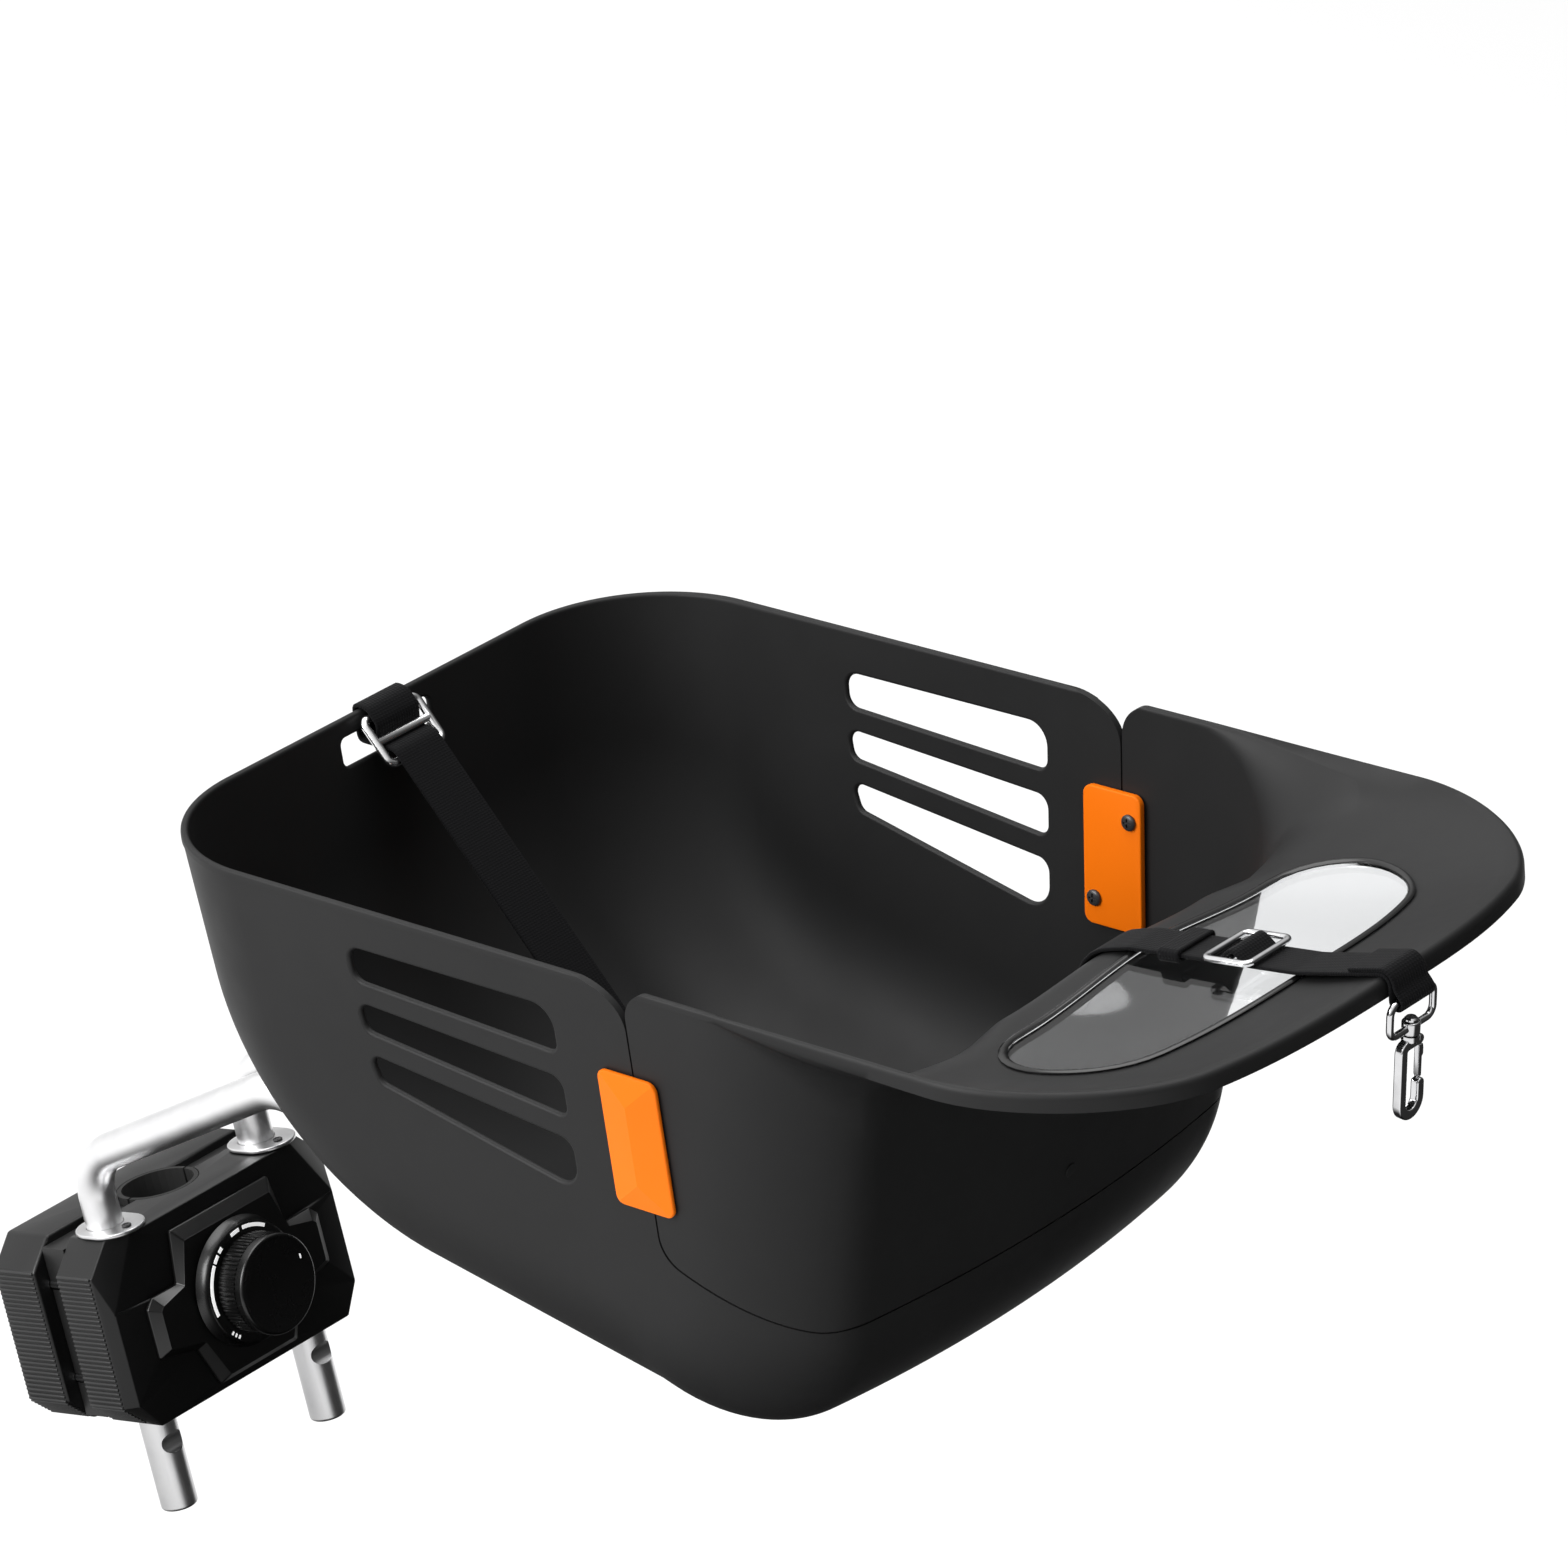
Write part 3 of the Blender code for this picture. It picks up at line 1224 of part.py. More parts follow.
COVER_BACK = BLOCK_FRONT + GAP
COVER_FACE = COVER_BACK + COVER_HEIGHT
cover_levels = [
    (COVER_BACK, cover_outline),
    (COVER_BACK + COVER_HEIGHT / 3, cover_outline),
    (COVER_FACE, inset(cover_outline, COVER_BEVEL)),
]
cover_mesh = rings([[(f, y, u) for y, u in outline] for f, outline in cover_levels])
cover = place("cover_plate", cover_mesh, COVER, bracket)
hole_profile = [
    (0, -OVERRUN),
    (SPINDLE_RADIUS + GAP, -OVERRUN),
    (SPINDLE_RADIUS + GAP, BLOCK_FRONT + OVERRUN),
    (0, BLOCK_FRONT + OVERRUN),
]
boolean(cover, cutter("cut_spindle", lathe(hole_profile, 16), bracket, along_x))

collar_profile = [
    (SPINDLE_RADIUS + GAP, COVER_FACE + GAP),
    (COLLAR_RADIUS + RING_WIDTH / 2, COVER_FACE + GAP),
    (COLLAR_RADIUS, RING_FRONT - RING_HEIGHT - GAP),
    (SPINDLE_RADIUS + GAP, RING_FRONT - RING_HEIGHT - GAP),
]
place("knob_collar", lathe(collar_profile, 40), COVER, bracket, along_x)
ring_profile = [
    (RING_RADIUS - RING_WIDTH, RING_FRONT - RING_HEIGHT),
    (RING_RADIUS, RING_FRONT - RING_HEIGHT),
    (RING_RADIUS, RING_FRONT),
    (RING_RADIUS - RING_WIDTH, RING_FRONT),
]
place("index_ring", lathe(ring_profile, 40), PALE, bracket, along_x)


def knob_mesh():
    """The fluted knob, its back and face chamfered, turned about Z."""
    back = RING_FRONT + GAP
    levels = [
        (KNOB_RADIUS - KNOB_EDGE, back, 0.0),
        (KNOB_RADIUS, back + KNOB_EDGE, 1.0),
        (KNOB_RADIUS, KNOB_FRONT - KNOB_EDGE, 1.0),
        (KNOB_RADIUS - KNOB_EDGE, KNOB_FRONT, 0.0),
    ]
    loops = []
    for radius, height, fluted in levels:
        loop = []
        for step in range(2 * KNOB_FLUTES):
            turn = math.tau * step / (2 * KNOB_FLUTES)
            reach = radius - KNOB_FLUTE_DEPTH * fluted * (step % 2)
            loop.append((reach * math.cos(turn), reach * math.sin(turn), height))
        loops.append(loop)
    return rings(loops)


knob = place("lock_knob", knob_mesh(), KNOB, bracket, along_x)
knob_hole = [
    (0, RING_FRONT - OVERRUN),
    (SPINDLE_RADIUS + GAP, RING_FRONT - OVERRUN),
    (SPINDLE_RADIUS + GAP, KNOB_FRONT - KNOB_EDGE - GAP),
    (0, KNOB_FRONT - KNOB_EDGE - GAP),
]
boolean(knob, cutter("cut_knob", lathe(knob_hole, 16), bracket, along_x))
SPINDLE_BACK = BAR_BACK + BAR_THICKNESS + BAR_TRAVEL + GAP
spindle_profile = [
    (0, SPINDLE_BACK),
    (SPINDLE_RADIUS, SPINDLE_BACK),
    (SPINDLE_RADIUS, KNOB_FRONT - KNOB_EDGE - 2 * GAP),
    (0, KNOB_FRONT - KNOB_EDGE - 2 * GAP),
]
place("knob_spindle", lathe(spindle_profile, 16), STEEL, bracket, along_x)

# Leg flanges with their screws
FLANGE_BASE = BLOCK_TOP + GAP
for side, name in ((1, "left"), (-1, "right")):
    outline = []
    for step in range(28):
        turn = math.tau * step / 28
        shift = FLANGE_LENGTH if math.cos(turn) > 0 else 0.0
        across = side * LEG_Y + FLANGE_RADIUS * math.sin(turn)
        outline.append((LEG_F + shift + FLANGE_RADIUS * math.cos(turn), across))
    flange = place(
        "leg_flange_" + name,
        prism(outline, FLANGE_BASE, FLANGE_BASE + FLANGE_THICKNESS),
        STEEL,
        bracket,
    )
    leg_at = Matrix.Translation((LEG_F, side * LEG_Y, 0))
    boolean(flange, cutter("cut_flange_" + name, lathe(leg_profile, 20), bracket, leg_at))
    seat = FLANGE_BASE + FLANGE_THICKNESS + GAP
    screw_at = Matrix.Translation((LEG_F + FLANGE_SCREW_OFFSET, side * LEG_Y, seat))
    profile = [
        (0, 0.0),
        (FLANGE_SCREW_RADIUS, 0.0),
        (FLANGE_SCREW_RADIUS, FLANGE_SCREW_HEIGHT / 2),
        (FLANGE_SCREW_RADIUS / 2, FLANGE_SCREW_HEIGHT),
        (0, FLANGE_SCREW_HEIGHT),
    ]
    place("flange_screw_" + name, lathe(profile, 12), STEEL, bracket, screw_at)

# Straps: paths in the basket's own X and Z
HALF_WEB = WEB_THICKNESS / 2
cut_front = section(
    rim_radius(np.zeros(1))[0][0],
    rim_radius(np.zeros(1))[0][0] - rim_radius(np.zeros(1))[1][0],
    0.0,
    *[curve[0] for curve in wall_curves(np.zeros(1), WALL)],
    False,
)


def floor_inside(x):
    return -TUB_DEPTH - slope(FLOOR_SLOPE) * (x - FLOOR_REFERENCE) + WALL / math.cos(
        math.radians(FLOOR_SLOPE)
    )


def arc(centre, radius, start, end, steps):
    """Points on an arc in X and Z, its angles in degrees."""
    points = []
    for step in range(steps + 1):
        turn = math.radians(start + (end - start) * step / steps)
        points.append((centre[0] + radius * math.cos(turn), centre[1] + radius * math.sin(turn)))
    return points


def wave(start, end, at, rise):
    """Points from start to end, woven over or under a slider's middle bar at a distance."""
    start, end = Vector(start), Vector(end)
    along = (end - start).normalized()
    up = Vector((-along.y, along.x))
    if up.y < 0:
        up = -up
    points = [start, start + along * (at - SLIDER_WAVE * 1.15)]
    for step in range(9):
        run = SLIDER_WAVE * (step / 4 - 1)
        lift = rise * math.cos(math.pi * run / (2 * SLIDER_WAVE)) ** 2
        points.append(start + along * (at + run) + up * lift)
    points += [start + along * (at + SLIDER_WAVE * 1.15), end]
    return points


SLIDER_LIFT = SLIDER_WIRE + HALF_WEB + GAP
WAVE_RISE = 2 * SLIDER_LIFT


def slider_mesh(width):
    """A frame of three bars and two sides. X runs along the strap."""
    half = width / 2 + SLIDER_MARGIN
    corners = [(-SLIDER_PITCH, -half), (SLIDER_PITCH, -half)]
    corners += [(SLIDER_PITCH, half), (-SLIDER_PITCH, half)]
    path = [(x, y, 0.0) for x, y in rounded(corners, SLIDER_WIRE * 1.6, 3)]
    return sweep(path, SLIDER_WIRE, 8, True, Vector((0, 0, 1)))


def slider(name, width, start, end, at, lift):
    start, end = Vector(start), Vector(end)
    along = (end - start).normalized()
    up = Vector((-along.y, along.x))
    if up.y < 0:
        up = -up
    spot = start + along * at + up * lift
    frame = Matrix.Identity(4)
    frame[0][0], frame[2][0] = along.x, along.y
    frame[0][2], frame[2][2] = up.x, up.y
    frame.translation = Vector((spot.x, 0, spot.y))
    made = place(name, slider_mesh(width), STEEL, basket, frame)
    half = width / 2 + SLIDER_MARGIN
    bar = [(0, -half), (SLIDER_WIRE * 0.98, -half), (SLIDER_WIRE * 0.98, half), (0, half)]
    middle = cutter("bar_" + name, lathe(bar, 10), basket, frame @ across_y)
    boolean(made, middle, "UNION")
    return made


def rivet(name, matrix, depth, low):
    """A rivet through an anchor plate: Z points out of its head, from the plate's top."""
    profile = [
        (0, RIVET_HEAD + GAP),
        (RIVET_HEAD_RADIUS, RIVET_HEAD / 2 + GAP),
        (RIVET_HEAD_RADIUS, GAP),
        (RIVET_RADIUS, GAP),
        (RIVET_RADIUS, -depth - GAP),
        (RIVET_HEAD_RADIUS, -depth - GAP),
        (RIVET_HEAD_RADIUS, -depth - GAP - low),
        (0, -depth - GAP - low),
    ]
    place(name, lathe(profile, 12), STEEL, basket, matrix)
    drill = [
        (0, OVERRUN / 4),
        (RIVET_RADIUS + GAP, OVERRUN / 4),
        (RIVET_RADIUS + GAP, -depth - OVERRUN / 4),
        (0, -depth - OVERRUN / 4),
    ]
    return cutter("cut_" + name, lathe(drill, 12), basket, matrix)


def anchor(name, width, spot, along):
    """A plate over a strap's end. Spot is the strap's middle on its wall."""
    along = Vector(along).normalized()
    up = Vector((-along.y, along.x))
    frame = Matrix.Identity(4)
    frame[0][0], frame[2][0] = along.x, along.y
    frame[0][2], frame[2][2] = up.x, up.y
    lift = HALF_WEB + GAP
    spot = Vector(spot) + up * lift
    frame.translation = Vector((spot.x, 0, spot.y))
    half = width / 2 + ANCHOR_MARGIN
    outline = [(-ANCHOR_LENGTH / 2, -half), (ANCHOR_LENGTH / 2, -half)]
    outline += [(ANCHOR_LENGTH / 2, half), (-ANCHOR_LENGTH / 2, half)]
    outline = rounded(outline, ANCHOR_MARGIN / 2, 3)
    plate = place(name, prism(outline, 0.0, ANCHOR_THICKNESS), STEEL, basket, frame)
    top = frame @ Matrix.Translation((0, 0, ANCHOR_THICKNESS))
    depth = ANCHOR_THICKNESS + GAP + WEB_THICKNESS + WEB_GAP + WALL
    hole = rivet(name + "_rivet", top, depth, RIVET_HEAD)
    boolean(plate, hole)
    return hole


# Rear strap: out through the slot, over the rim, then taut to the floor
slot_z = -STRAP_SLOT_TOP - STRAP_SLOT_HEIGHT / 2
slot_x = slope(REAR_LEAN) * -slot_z
behind = -WEB_GAP - HALF_WEB
over = WEB_GAP + HALF_WEB
inside_x = WALL + 2 * over
anchor_z = floor_inside(REAR_ANCHOR_X) + over
anchor_back = REAR_ANCHOR_X - ANCHOR_LENGTH
run_start = (inside_x, over - HALF_WEB)
run_end = (anchor_back, floor_inside(anchor_back) + over)
rear_path = [(slot_x + WALL + 3 * over, slot_z), (slot_x + WALL / 2, slot_z)]
rear_path += arc((slot_x + behind + over, slot_z + over), over, 270, 180, 3)
rear_path += arc((behind + over, over - over), over, 180, 90, 4)
rear_path += [(WALL, over)]
rear_path += [tuple(spot) for spot in wave(run_start, run_end, REAR_SLIDER_RUN, -WAVE_RISE)]
anchor_front = REAR_ANCHOR_X + ANCHOR_LENGTH / 2
rear_path += [(anchor_front, floor_inside(anchor_front) + over)]
rear_strap = place("rear_strap", ribbon(rear_path, REAR_WEB_WIDTH, WEB_THICKNESS), WEB, basket)
slider("rear_slider", REAR_WEB_WIDTH, run_start, run_end, REAR_SLIDER_RUN, -SLIDER_LIFT)
hole = anchor(
    "rear_anchor", REAR_WEB_WIDTH, (REAR_ANCHOR_X, anchor_z), (1, -slope(FLOOR_SLOPE))
)
boolean(rear_strap, hole)
cut_skin(rear_shell, hole)

# Tether: up the front wall, over the pane, and down past the bonnet's edge
front_r, front_z = cut_front[0] + TUB_MIDDLE, cut_front[1]
step_r, step_z = np.gradient(front_r), np.gradient(front_z)
size = np.hypot(step_r, step_z)
line_r = front_r + step_z / size * -over
line_z = front_z + step_r / size * over
line_r, line_z = front_r - step_z / size * -over, front_z - step_r / size * over
anchor_depth = TUB_DEPTH * TETHER_ANCHOR_SHARE
low_spot = -anchor_depth - ANCHOR_LENGTH / 2
on_wall = (line_z > low_spot) & (line_r < WINDOW_REAR - 2 * BEAD_WIDTH)
wall_points = list(zip(line_r[on_wall], line_z[on_wall]))[::-1]
kept = [wall_points[0]]
for spot in wall_points[1:]:
    if math.dist(spot, kept[-1]) > 2.5 * ANCHOR_THICKNESS:
        kept.append(spot)
crest = BEAD_GAP + BEAD_HEIGHT + GAP + HALF_WEB + GAP
rear_crest = (WINDOW_REAR, top_at(WINDOW_REAR) + crest)
front_crest = (WINDOW_FRONT, top_at(WINDOW_FRONT) + crest)
edge_x = TUB_MIDDLE + cut_front[0][0] + LIP_ROUND
edge_top = cut_front[2]
edge_centre = (edge_x - LIP_ROUND, edge_top - LIP_ROUND)
edge_round = LIP_ROUND + over
bar_z = edge_top - RING_BAR_DEPTH
loop_round = RING_WIRE + GAP + HALF_WEB
bar_x = edge_x + over + loop_round
tether = list(kept)
run = math.dist(rear_crest, front_crest)
at = run * (TETHER_SLIDER_X - WINDOW_REAR) / (WINDOW_FRONT - WINDOW_REAR)
tether += [tuple(spot) for spot in wave(rear_crest, front_crest, at, WAVE_RISE)]
tether += arc(edge_centre, edge_round, 75, 0, 4)
tether += arc((bar_x, bar_z), loop_round, 180, 375, 9)
double = WEB_THICKNESS + GAP
tether += [(edge_x + over + double, bar_z + 2 * loop_round)]
tether += arc(edge_centre, edge_round + double, 0, 78, 4)
slant = Vector((front_crest[0] - edge_centre[0], front_crest[1] - edge_centre[1] - edge_round))
tail_end = Vector(tether[-1]) + slant.normalized() * TAIL_LENGTH
tether += [tuple(tail_end)]
tether_strap = place("tether_strap", ribbon(tether, FRONT_WEB_WIDTH, WEB_THICKNESS), WEB, basket)
slider("tether_slider", FRONT_WEB_WIDTH, rear_crest, front_crest, at, SLIDER_LIFT)
wall_x = np.interp(-anchor_depth, line_z[::-1], line_r[::-1])
hole = anchor(
    "tether_anchor", FRONT_WEB_WIDTH, (wall_x, -anchor_depth), (slope(FRONT_LEAN), 1)
)
boolean(tether_strap, hole)
cut_skin(front_shell, hole)

# Keeper: a sleeve round the tether
run_along = (Vector(front_crest) - Vector(rear_crest)).normalized()
keeper_at = (KEEPER_X - WINDOW_REAR) / (WINDOW_FRONT - WINDOW_REAR)
spot = Vector(rear_crest).lerp(Vector(front_crest), keeper_at)
keeper_frame = Matrix.Identity(4)
keeper_frame[0][0], keeper_frame[2][0] = run_along.x, run_along.y
keeper_frame[0][2], keeper_frame[2][2] = -run_along.y, run_along.x
keeper_frame.translation = Vector((spot.x, 0, spot.y))


def sleeve_box(grow, length):
    half_y = FRONT_WEB_WIDTH / 2 + GAP + grow
    half_z = HALF_WEB + GAP + grow
    outline = [(-half_y, -half_z), (half_y, -half_z), (half_y, half_z), (-half_y, half_z)]
    return prism(outline, -length / 2, length / 2, "YZX")


keeper_sleeve = place(
    "tether_keeper", sleeve_box(KEEPER_WALL, KEEPER_LENGTH), WEB, basket, keeper_frame
)
sleeve_hole = cutter("cut_sleeve", sleeve_box(0.0, 2 * KEEPER_LENGTH), basket, keeper_frame)
boolean(keeper_sleeve, sleeve_hole)

# Ring: swings on its upper bar, in the strap's end
ring_frame = empty(
    "ring_hinge", Matrix.Translation((bar_x, 0, bar_z)) @ rotation_y(BASKET_PITCH), basket
)
ring_half = RING_SPAN / 2
ring_corners = [(-ring_half, -RING_DROP), (ring_half, -RING_DROP), (ring_half, 0), (-ring_half, 0)]
ring_path = [(0, y, z) for y, z in rounded(ring_corners, RING_CORNER, 3)]
ring = place(
    "tether_ring", sweep(ring_path, RING_WIRE, 8, True, Vector((1, 0, 0))), STEEL, ring_frame
)
barrel_top = -RING_DROP + BARREL_LENGTH / 2
barrel_low = -RING_DROP - BARREL_LENGTH / 2
barrel = [
    (0, barrel_low),
    (BARREL_RADIUS, barrel_low),
    (BARREL_RADIUS, barrel_top),
    (0, barrel_top),
]
boolean(ring, cutter("barrel", lathe(barrel, 14), ring_frame), "UNION")
stud_hole = [
    (0, barrel_low - OVERRUN / 4),
    (STUD_RADIUS + GAP, barrel_low - OVERRUN / 4),
    (STUD_RADIUS + GAP, -RING_WIRE - GAP),
    (0, -RING_WIRE - GAP),
]
boolean(ring, cutter("cut_stud", lathe(stud_hole, 12), ring_frame))

# Hook: turns on its stud under the ring
hook_frame = empty("hook_swivel", Matrix.Translation((0, 0, -RING_DROP)), ring_frame)
stud_top = BARREL_LENGTH / 2 + GAP
neck_z = -BARREL_LENGTH / 2 - GAP
shoulder_z = neck_z - HOOK_NECK
hook_top = shoulder_z - HOOK_WIRE / 2
hook_half = HOOK_SPAN / 2
hook_low = hook_top - HOOK_LENGTH + hook_half
hook_tip = hook_low + HOOK_TIP_SHARE * (HOOK_LENGTH - hook_half)
stud = [
    (0, stud_top + STUD_HEAD),
    (STUD_HEAD_RADIUS, stud_top + STUD_HEAD),
    (STUD_HEAD_RADIUS, stud_top),
    (STUD_RADIUS, stud_top),
    (STUD_RADIUS, neck_z),
    (BARREL_RADIUS, neck_z),
    (BARREL_RADIUS, shoulder_z),
    (0, shoulder_z - HOOK_WIRE / 2),
]
hook_path = [(0, hook_half, hook_top)]
hook_path += [(0, 0, hook_top)]
hook_path += [(0, y, z) for y, z in rounded(
    [(0, hook_top), (-hook_half, hook_top), (-hook_half, hook_low)], [0, HOOK_WIRE * 1.5, 0], 3
)][1:-1]
for step in range(9):
    turn = math.pi * (1 + step / 8)
    hook_path.append((0, hook_half * math.cos(turn), hook_low + hook_half * math.sin(turn)))
hook_path.append((0, hook_half, hook_tip))
hook = place(
    "hook_body", sweep(hook_path, HOOK_WIRE, 10, False, Vector((1, 0, 0))), STEEL, hook_frame
)
boolean(hook, cutter("stud", lathe(stud, 14), hook_frame), "UNION")
gate_top = hook_top - HOOK_WIRE - GATE_GAP
gate_frame = empty("gate_hinge", Matrix.Translation((0, hook_half, gate_top)), hook_frame)
gate_drop = hook_tip + GATE_GAP - gate_top
gate_profile = [
    (0, 0.0),
    (GATE_WIRE, 0.0),
    (GATE_WIRE, gate_drop),
    (0, gate_drop),
]
place("hook_gate", lathe(gate_profile, 10), STEEL, gate_frame)
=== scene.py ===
"""Dog bicycle basket, dressed for its portrait. Metres, +X forward, +Y left, +Z up."""

from math import cos, dist, hypot, pi, radians, sin, sqrt, tan, tau

import bmesh
import bpy
import numpy as np
from mathutils import Matrix, Vector
from mathutils.bvhtree import BVHTree


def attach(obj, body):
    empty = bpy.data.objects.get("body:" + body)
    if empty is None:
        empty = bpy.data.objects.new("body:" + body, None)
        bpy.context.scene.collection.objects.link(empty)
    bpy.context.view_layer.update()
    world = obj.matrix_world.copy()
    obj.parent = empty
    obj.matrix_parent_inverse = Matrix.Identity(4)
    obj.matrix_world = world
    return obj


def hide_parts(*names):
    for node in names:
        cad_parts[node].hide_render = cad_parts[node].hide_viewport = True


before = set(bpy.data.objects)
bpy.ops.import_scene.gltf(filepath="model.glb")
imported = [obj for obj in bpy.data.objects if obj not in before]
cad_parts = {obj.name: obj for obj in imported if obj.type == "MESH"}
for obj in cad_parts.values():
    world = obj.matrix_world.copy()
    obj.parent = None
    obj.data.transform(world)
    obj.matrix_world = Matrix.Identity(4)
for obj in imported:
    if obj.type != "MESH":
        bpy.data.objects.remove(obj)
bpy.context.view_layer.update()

scene = bpy.context.scene
scene.view_settings.view_transform = "Standard"

# Studio. A long lens looks down on the basket's front right corner, as the
# photograph does. A white floor lies well below the basket, and three large
# soft lamps stand to the left of the camera, overhead and far behind.
view_azimuth = radians(40.0)
view_elevation = radians(28.0)
white = (1, 1, 1, 1)
floor_height = -0.62
floor_half = 9
shadow_share = 0.35
# Painted shade in the floor's reflection falls toward this heading.
painted_dark_heading = (0.788, 0.616, 0.0)
bright_heading = Vector((-0.50, -0.35, 0.79)).normalized()
basket_middle = Vector((0.30, 0.0, 0.22))


def link(name, data):
    """A new object in the scene."""
    made = bpy.data.objects.new(name, data)
    scene.collection.objects.link(made)
    return made


camera = link("camera", bpy.data.cameras.new("camera"))
camera.data.lens = 192.86
camera.data.sensor_width = 36.0
camera.data.clip_start = 0.1
camera.data.clip_end = 60.0
camera.location = (2.1757, -2.1916, 1.8738)
camera.rotation_euler = Vector((
    sin(view_azimuth) * cos(view_elevation),
    -cos(view_azimuth) * cos(view_elevation),
    sin(view_elevation),
)).to_track_quat("Z", "Y").to_euler()
scene.camera = camera


def node(tree, kind, **values):
    """A new node to the right of the last, with its settings and inputs filled in."""
    made = tree.nodes.new(kind)
    made.location = (220 * len(tree.nodes), 0)
    for name, value in values.items():
        if hasattr(made, name):
            setattr(made, name, value)
        elif name.startswith("input_"):
            made.inputs[int(name[-1])].default_value = value
        else:
            made.inputs[name.replace("_", " ")].default_value = value
    return made


def wire(tree, *links):
    """Joins sockets, each link given as a node, its output, a node and its input."""
    for start, out, end, into in links:
        tree.links.new(start.outputs[out], end.inputs[into])


def seen_by_lens(tree):
    """The ray's kinds, and a mask of the rays that come from the lens, also through the pane."""
    path = node(tree, "ShaderNodeLightPath")
    seen = node(tree, "ShaderNodeMath", operation="MAXIMUM")
    wire(tree, (path, "Is Camera Ray", seen, 0), (path, "Is Transmission Ray", seen, 1))
    return path, seen


def studio_white():
    """White for the lens, with a soft shadow. Mirrors see a glow instead, a painted reflection with painted
    shade to the right and a painted shadow below the basket.
    """
    look = bpy.data.materials.new("floor_paper")
    look.use_nodes = True
    tree = look.node_tree
    tree.nodes.clear()
    path, seen = seen_by_lens(tree)
    share = node(tree, "ShaderNodeMath", operation="MULTIPLY", input_1=1.0 - shadow_share)
    paper = node(tree, "ShaderNodeBsdfDiffuse", Color=(0.80, 0.80, 0.80, 1))
    glow = node(tree, "ShaderNodeEmission", Color=white)
    lit = node(tree, "ShaderNodeMixShader")
    place = node(tree, "ShaderNodeNewGeometry")
    below_basket = (basket_middle.x, 0.0, floor_height)
    offset = node(tree, "ShaderNodeVectorMath", operation="SUBTRACT", input_1=below_basket)
    heading = node(tree, "ShaderNodeVectorMath", operation="NORMALIZE")
    # Painted shade: in mirrors the floor glows dimmer toward the dark heading.
    toward = node(tree, "ShaderNodeVectorMath", operation="DOT_PRODUCT", input_1=painted_dark_heading)
    painted_dark_side = node(tree, "ShaderNodeMapRange", interpolation_type="SMOOTHSTEP",
                  From_Min=0.469, From_Max=0.766, To_Min=1.1, To_Max=0.03)
    far = node(tree, "ShaderNodeVectorMath", operation="LENGTH")
    # Painted shadow: in mirrors the floor glows dimmer near the spot below the basket.
    painted_shadow_pool = node(tree, "ShaderNodeMapRange", interpolation_type="SMOOTHSTEP",
                From_Min=0.30, From_Max=1.60, To_Min=0.02)
    both = node(tree, "ShaderNodeMath", operation="MULTIPLY")
    # Painted reflection: mirrors see the floor as this glow, dimmed by the painted shade and shadow.
    mirrored = node(tree, "ShaderNodeEmission", Color=white)
    thrown = node(tree, "ShaderNodeMath", operation="SUBTRACT", use_clamp=True)
    last = node(tree, "ShaderNodeMixShader")
    out = node(tree, "ShaderNodeOutputMaterial")
    wire(
        tree, (seen, 0, share, 0), (share, 0, lit, 0), (paper, 0, lit, 1), (glow, 0, lit, 2),
        (place, "Position", offset, 0), (offset, 0, heading, 0), (heading, 0, toward, 0),
        (toward, "Value", painted_dark_side, "Value"), (offset, 0, far, 0), (far, "Value", painted_shadow_pool, "Value"),
        (painted_dark_side, "Result", both, 0), (painted_shadow_pool, "Result", both, 1), (both, 0, mirrored, "Strength"),
        (path, "Is Glossy Ray", thrown, 0), (path, "Is Transmission Ray", thrown, 1),
        (thrown, 0, last, 0), (lit, 0, last, 1), (mirrored, 0, last, 2), (last, 0, out, 0),
    )
    return look


floor_mesh = bpy.data.meshes.new("floor")
floor_signs = ((-1, -1), (1, -1), (1, 1), (-1, 1))
floor_corners = [(x * floor_half, y * floor_half, floor_height) for x, y in floor_signs]
floor_mesh.from_pydata(floor_corners, [], [(0, 1, 2, 3)])
floor_mesh.materials.append(studio_white())
link("floor", floor_mesh)

scene.world = bpy.data.worlds.new("studio_air")
scene.world.use_nodes = True
air = scene.world.node_tree
air.nodes.clear()
air_seen = seen_by_lens(air)[1]
air_place = node(air, "ShaderNodeTexCoord")
air_toward = node(air, "ShaderNodeVectorMath", operation="DOT_PRODUCT", input_1=bright_heading)
air_fade = node(air, "ShaderNodeMapRange", interpolation_type="SMOOTHSTEP",
                From_Min=-0.15, From_Max=0.85, To_Min=0.05, To_Max=1.15)
air_dim = node(air, "ShaderNodeBackground", Color=white)
air_white = node(air, "ShaderNodeBackground", Color=white)
air_mix = node(air, "ShaderNodeMixShader")
wire(
    air, (air_place, "Generated", air_toward, 0), (air_toward, "Value", air_fade, "Value"),
    (air_fade, "Result", air_dim, "Strength"), (air_seen, 0, air_mix, 0), (air_dim, 0, air_mix, 1),
    (air_white, 0, air_mix, 2), (air_mix, 0, node(air, "ShaderNodeOutputWorld"), 0),
)


def softbox(name, place, size, power):
    """A large soft lamp that points at the basket's middle."""
    lamp = bpy.data.lights.new(name, "AREA")
    lamp.shape = "RECTANGLE"
    lamp.size, lamp.size_y = size
    lamp.energy = power
    made = link(name, lamp)
    made.location = place
    made.rotation_euler = (Vector(place) - basket_middle).to_track_quat("Z", "Y").to_euler()
    return made


softbox("lamp_side", (-0.8, -2.5, 1.7), (1.8, 1.8), 80.0)
softbox("lamp_top", (-0.1, 0.3, 2.6), (2.2, 2.2), 42.0)
softbox("lamp_back", (-2.6, 1.6, 1.5), (1.6, 2.0), 38.0).visible_glossy = False


# Rear tub, the larger of two thick injection mouldings in satin black plastic.
# Three raked slots are cut in each side and a wide one in the back for a strap.
# Rim and slots have full round edges, and the skin carries a very fine grain.
def at(*spot):
    return Matrix.Translation(spot)


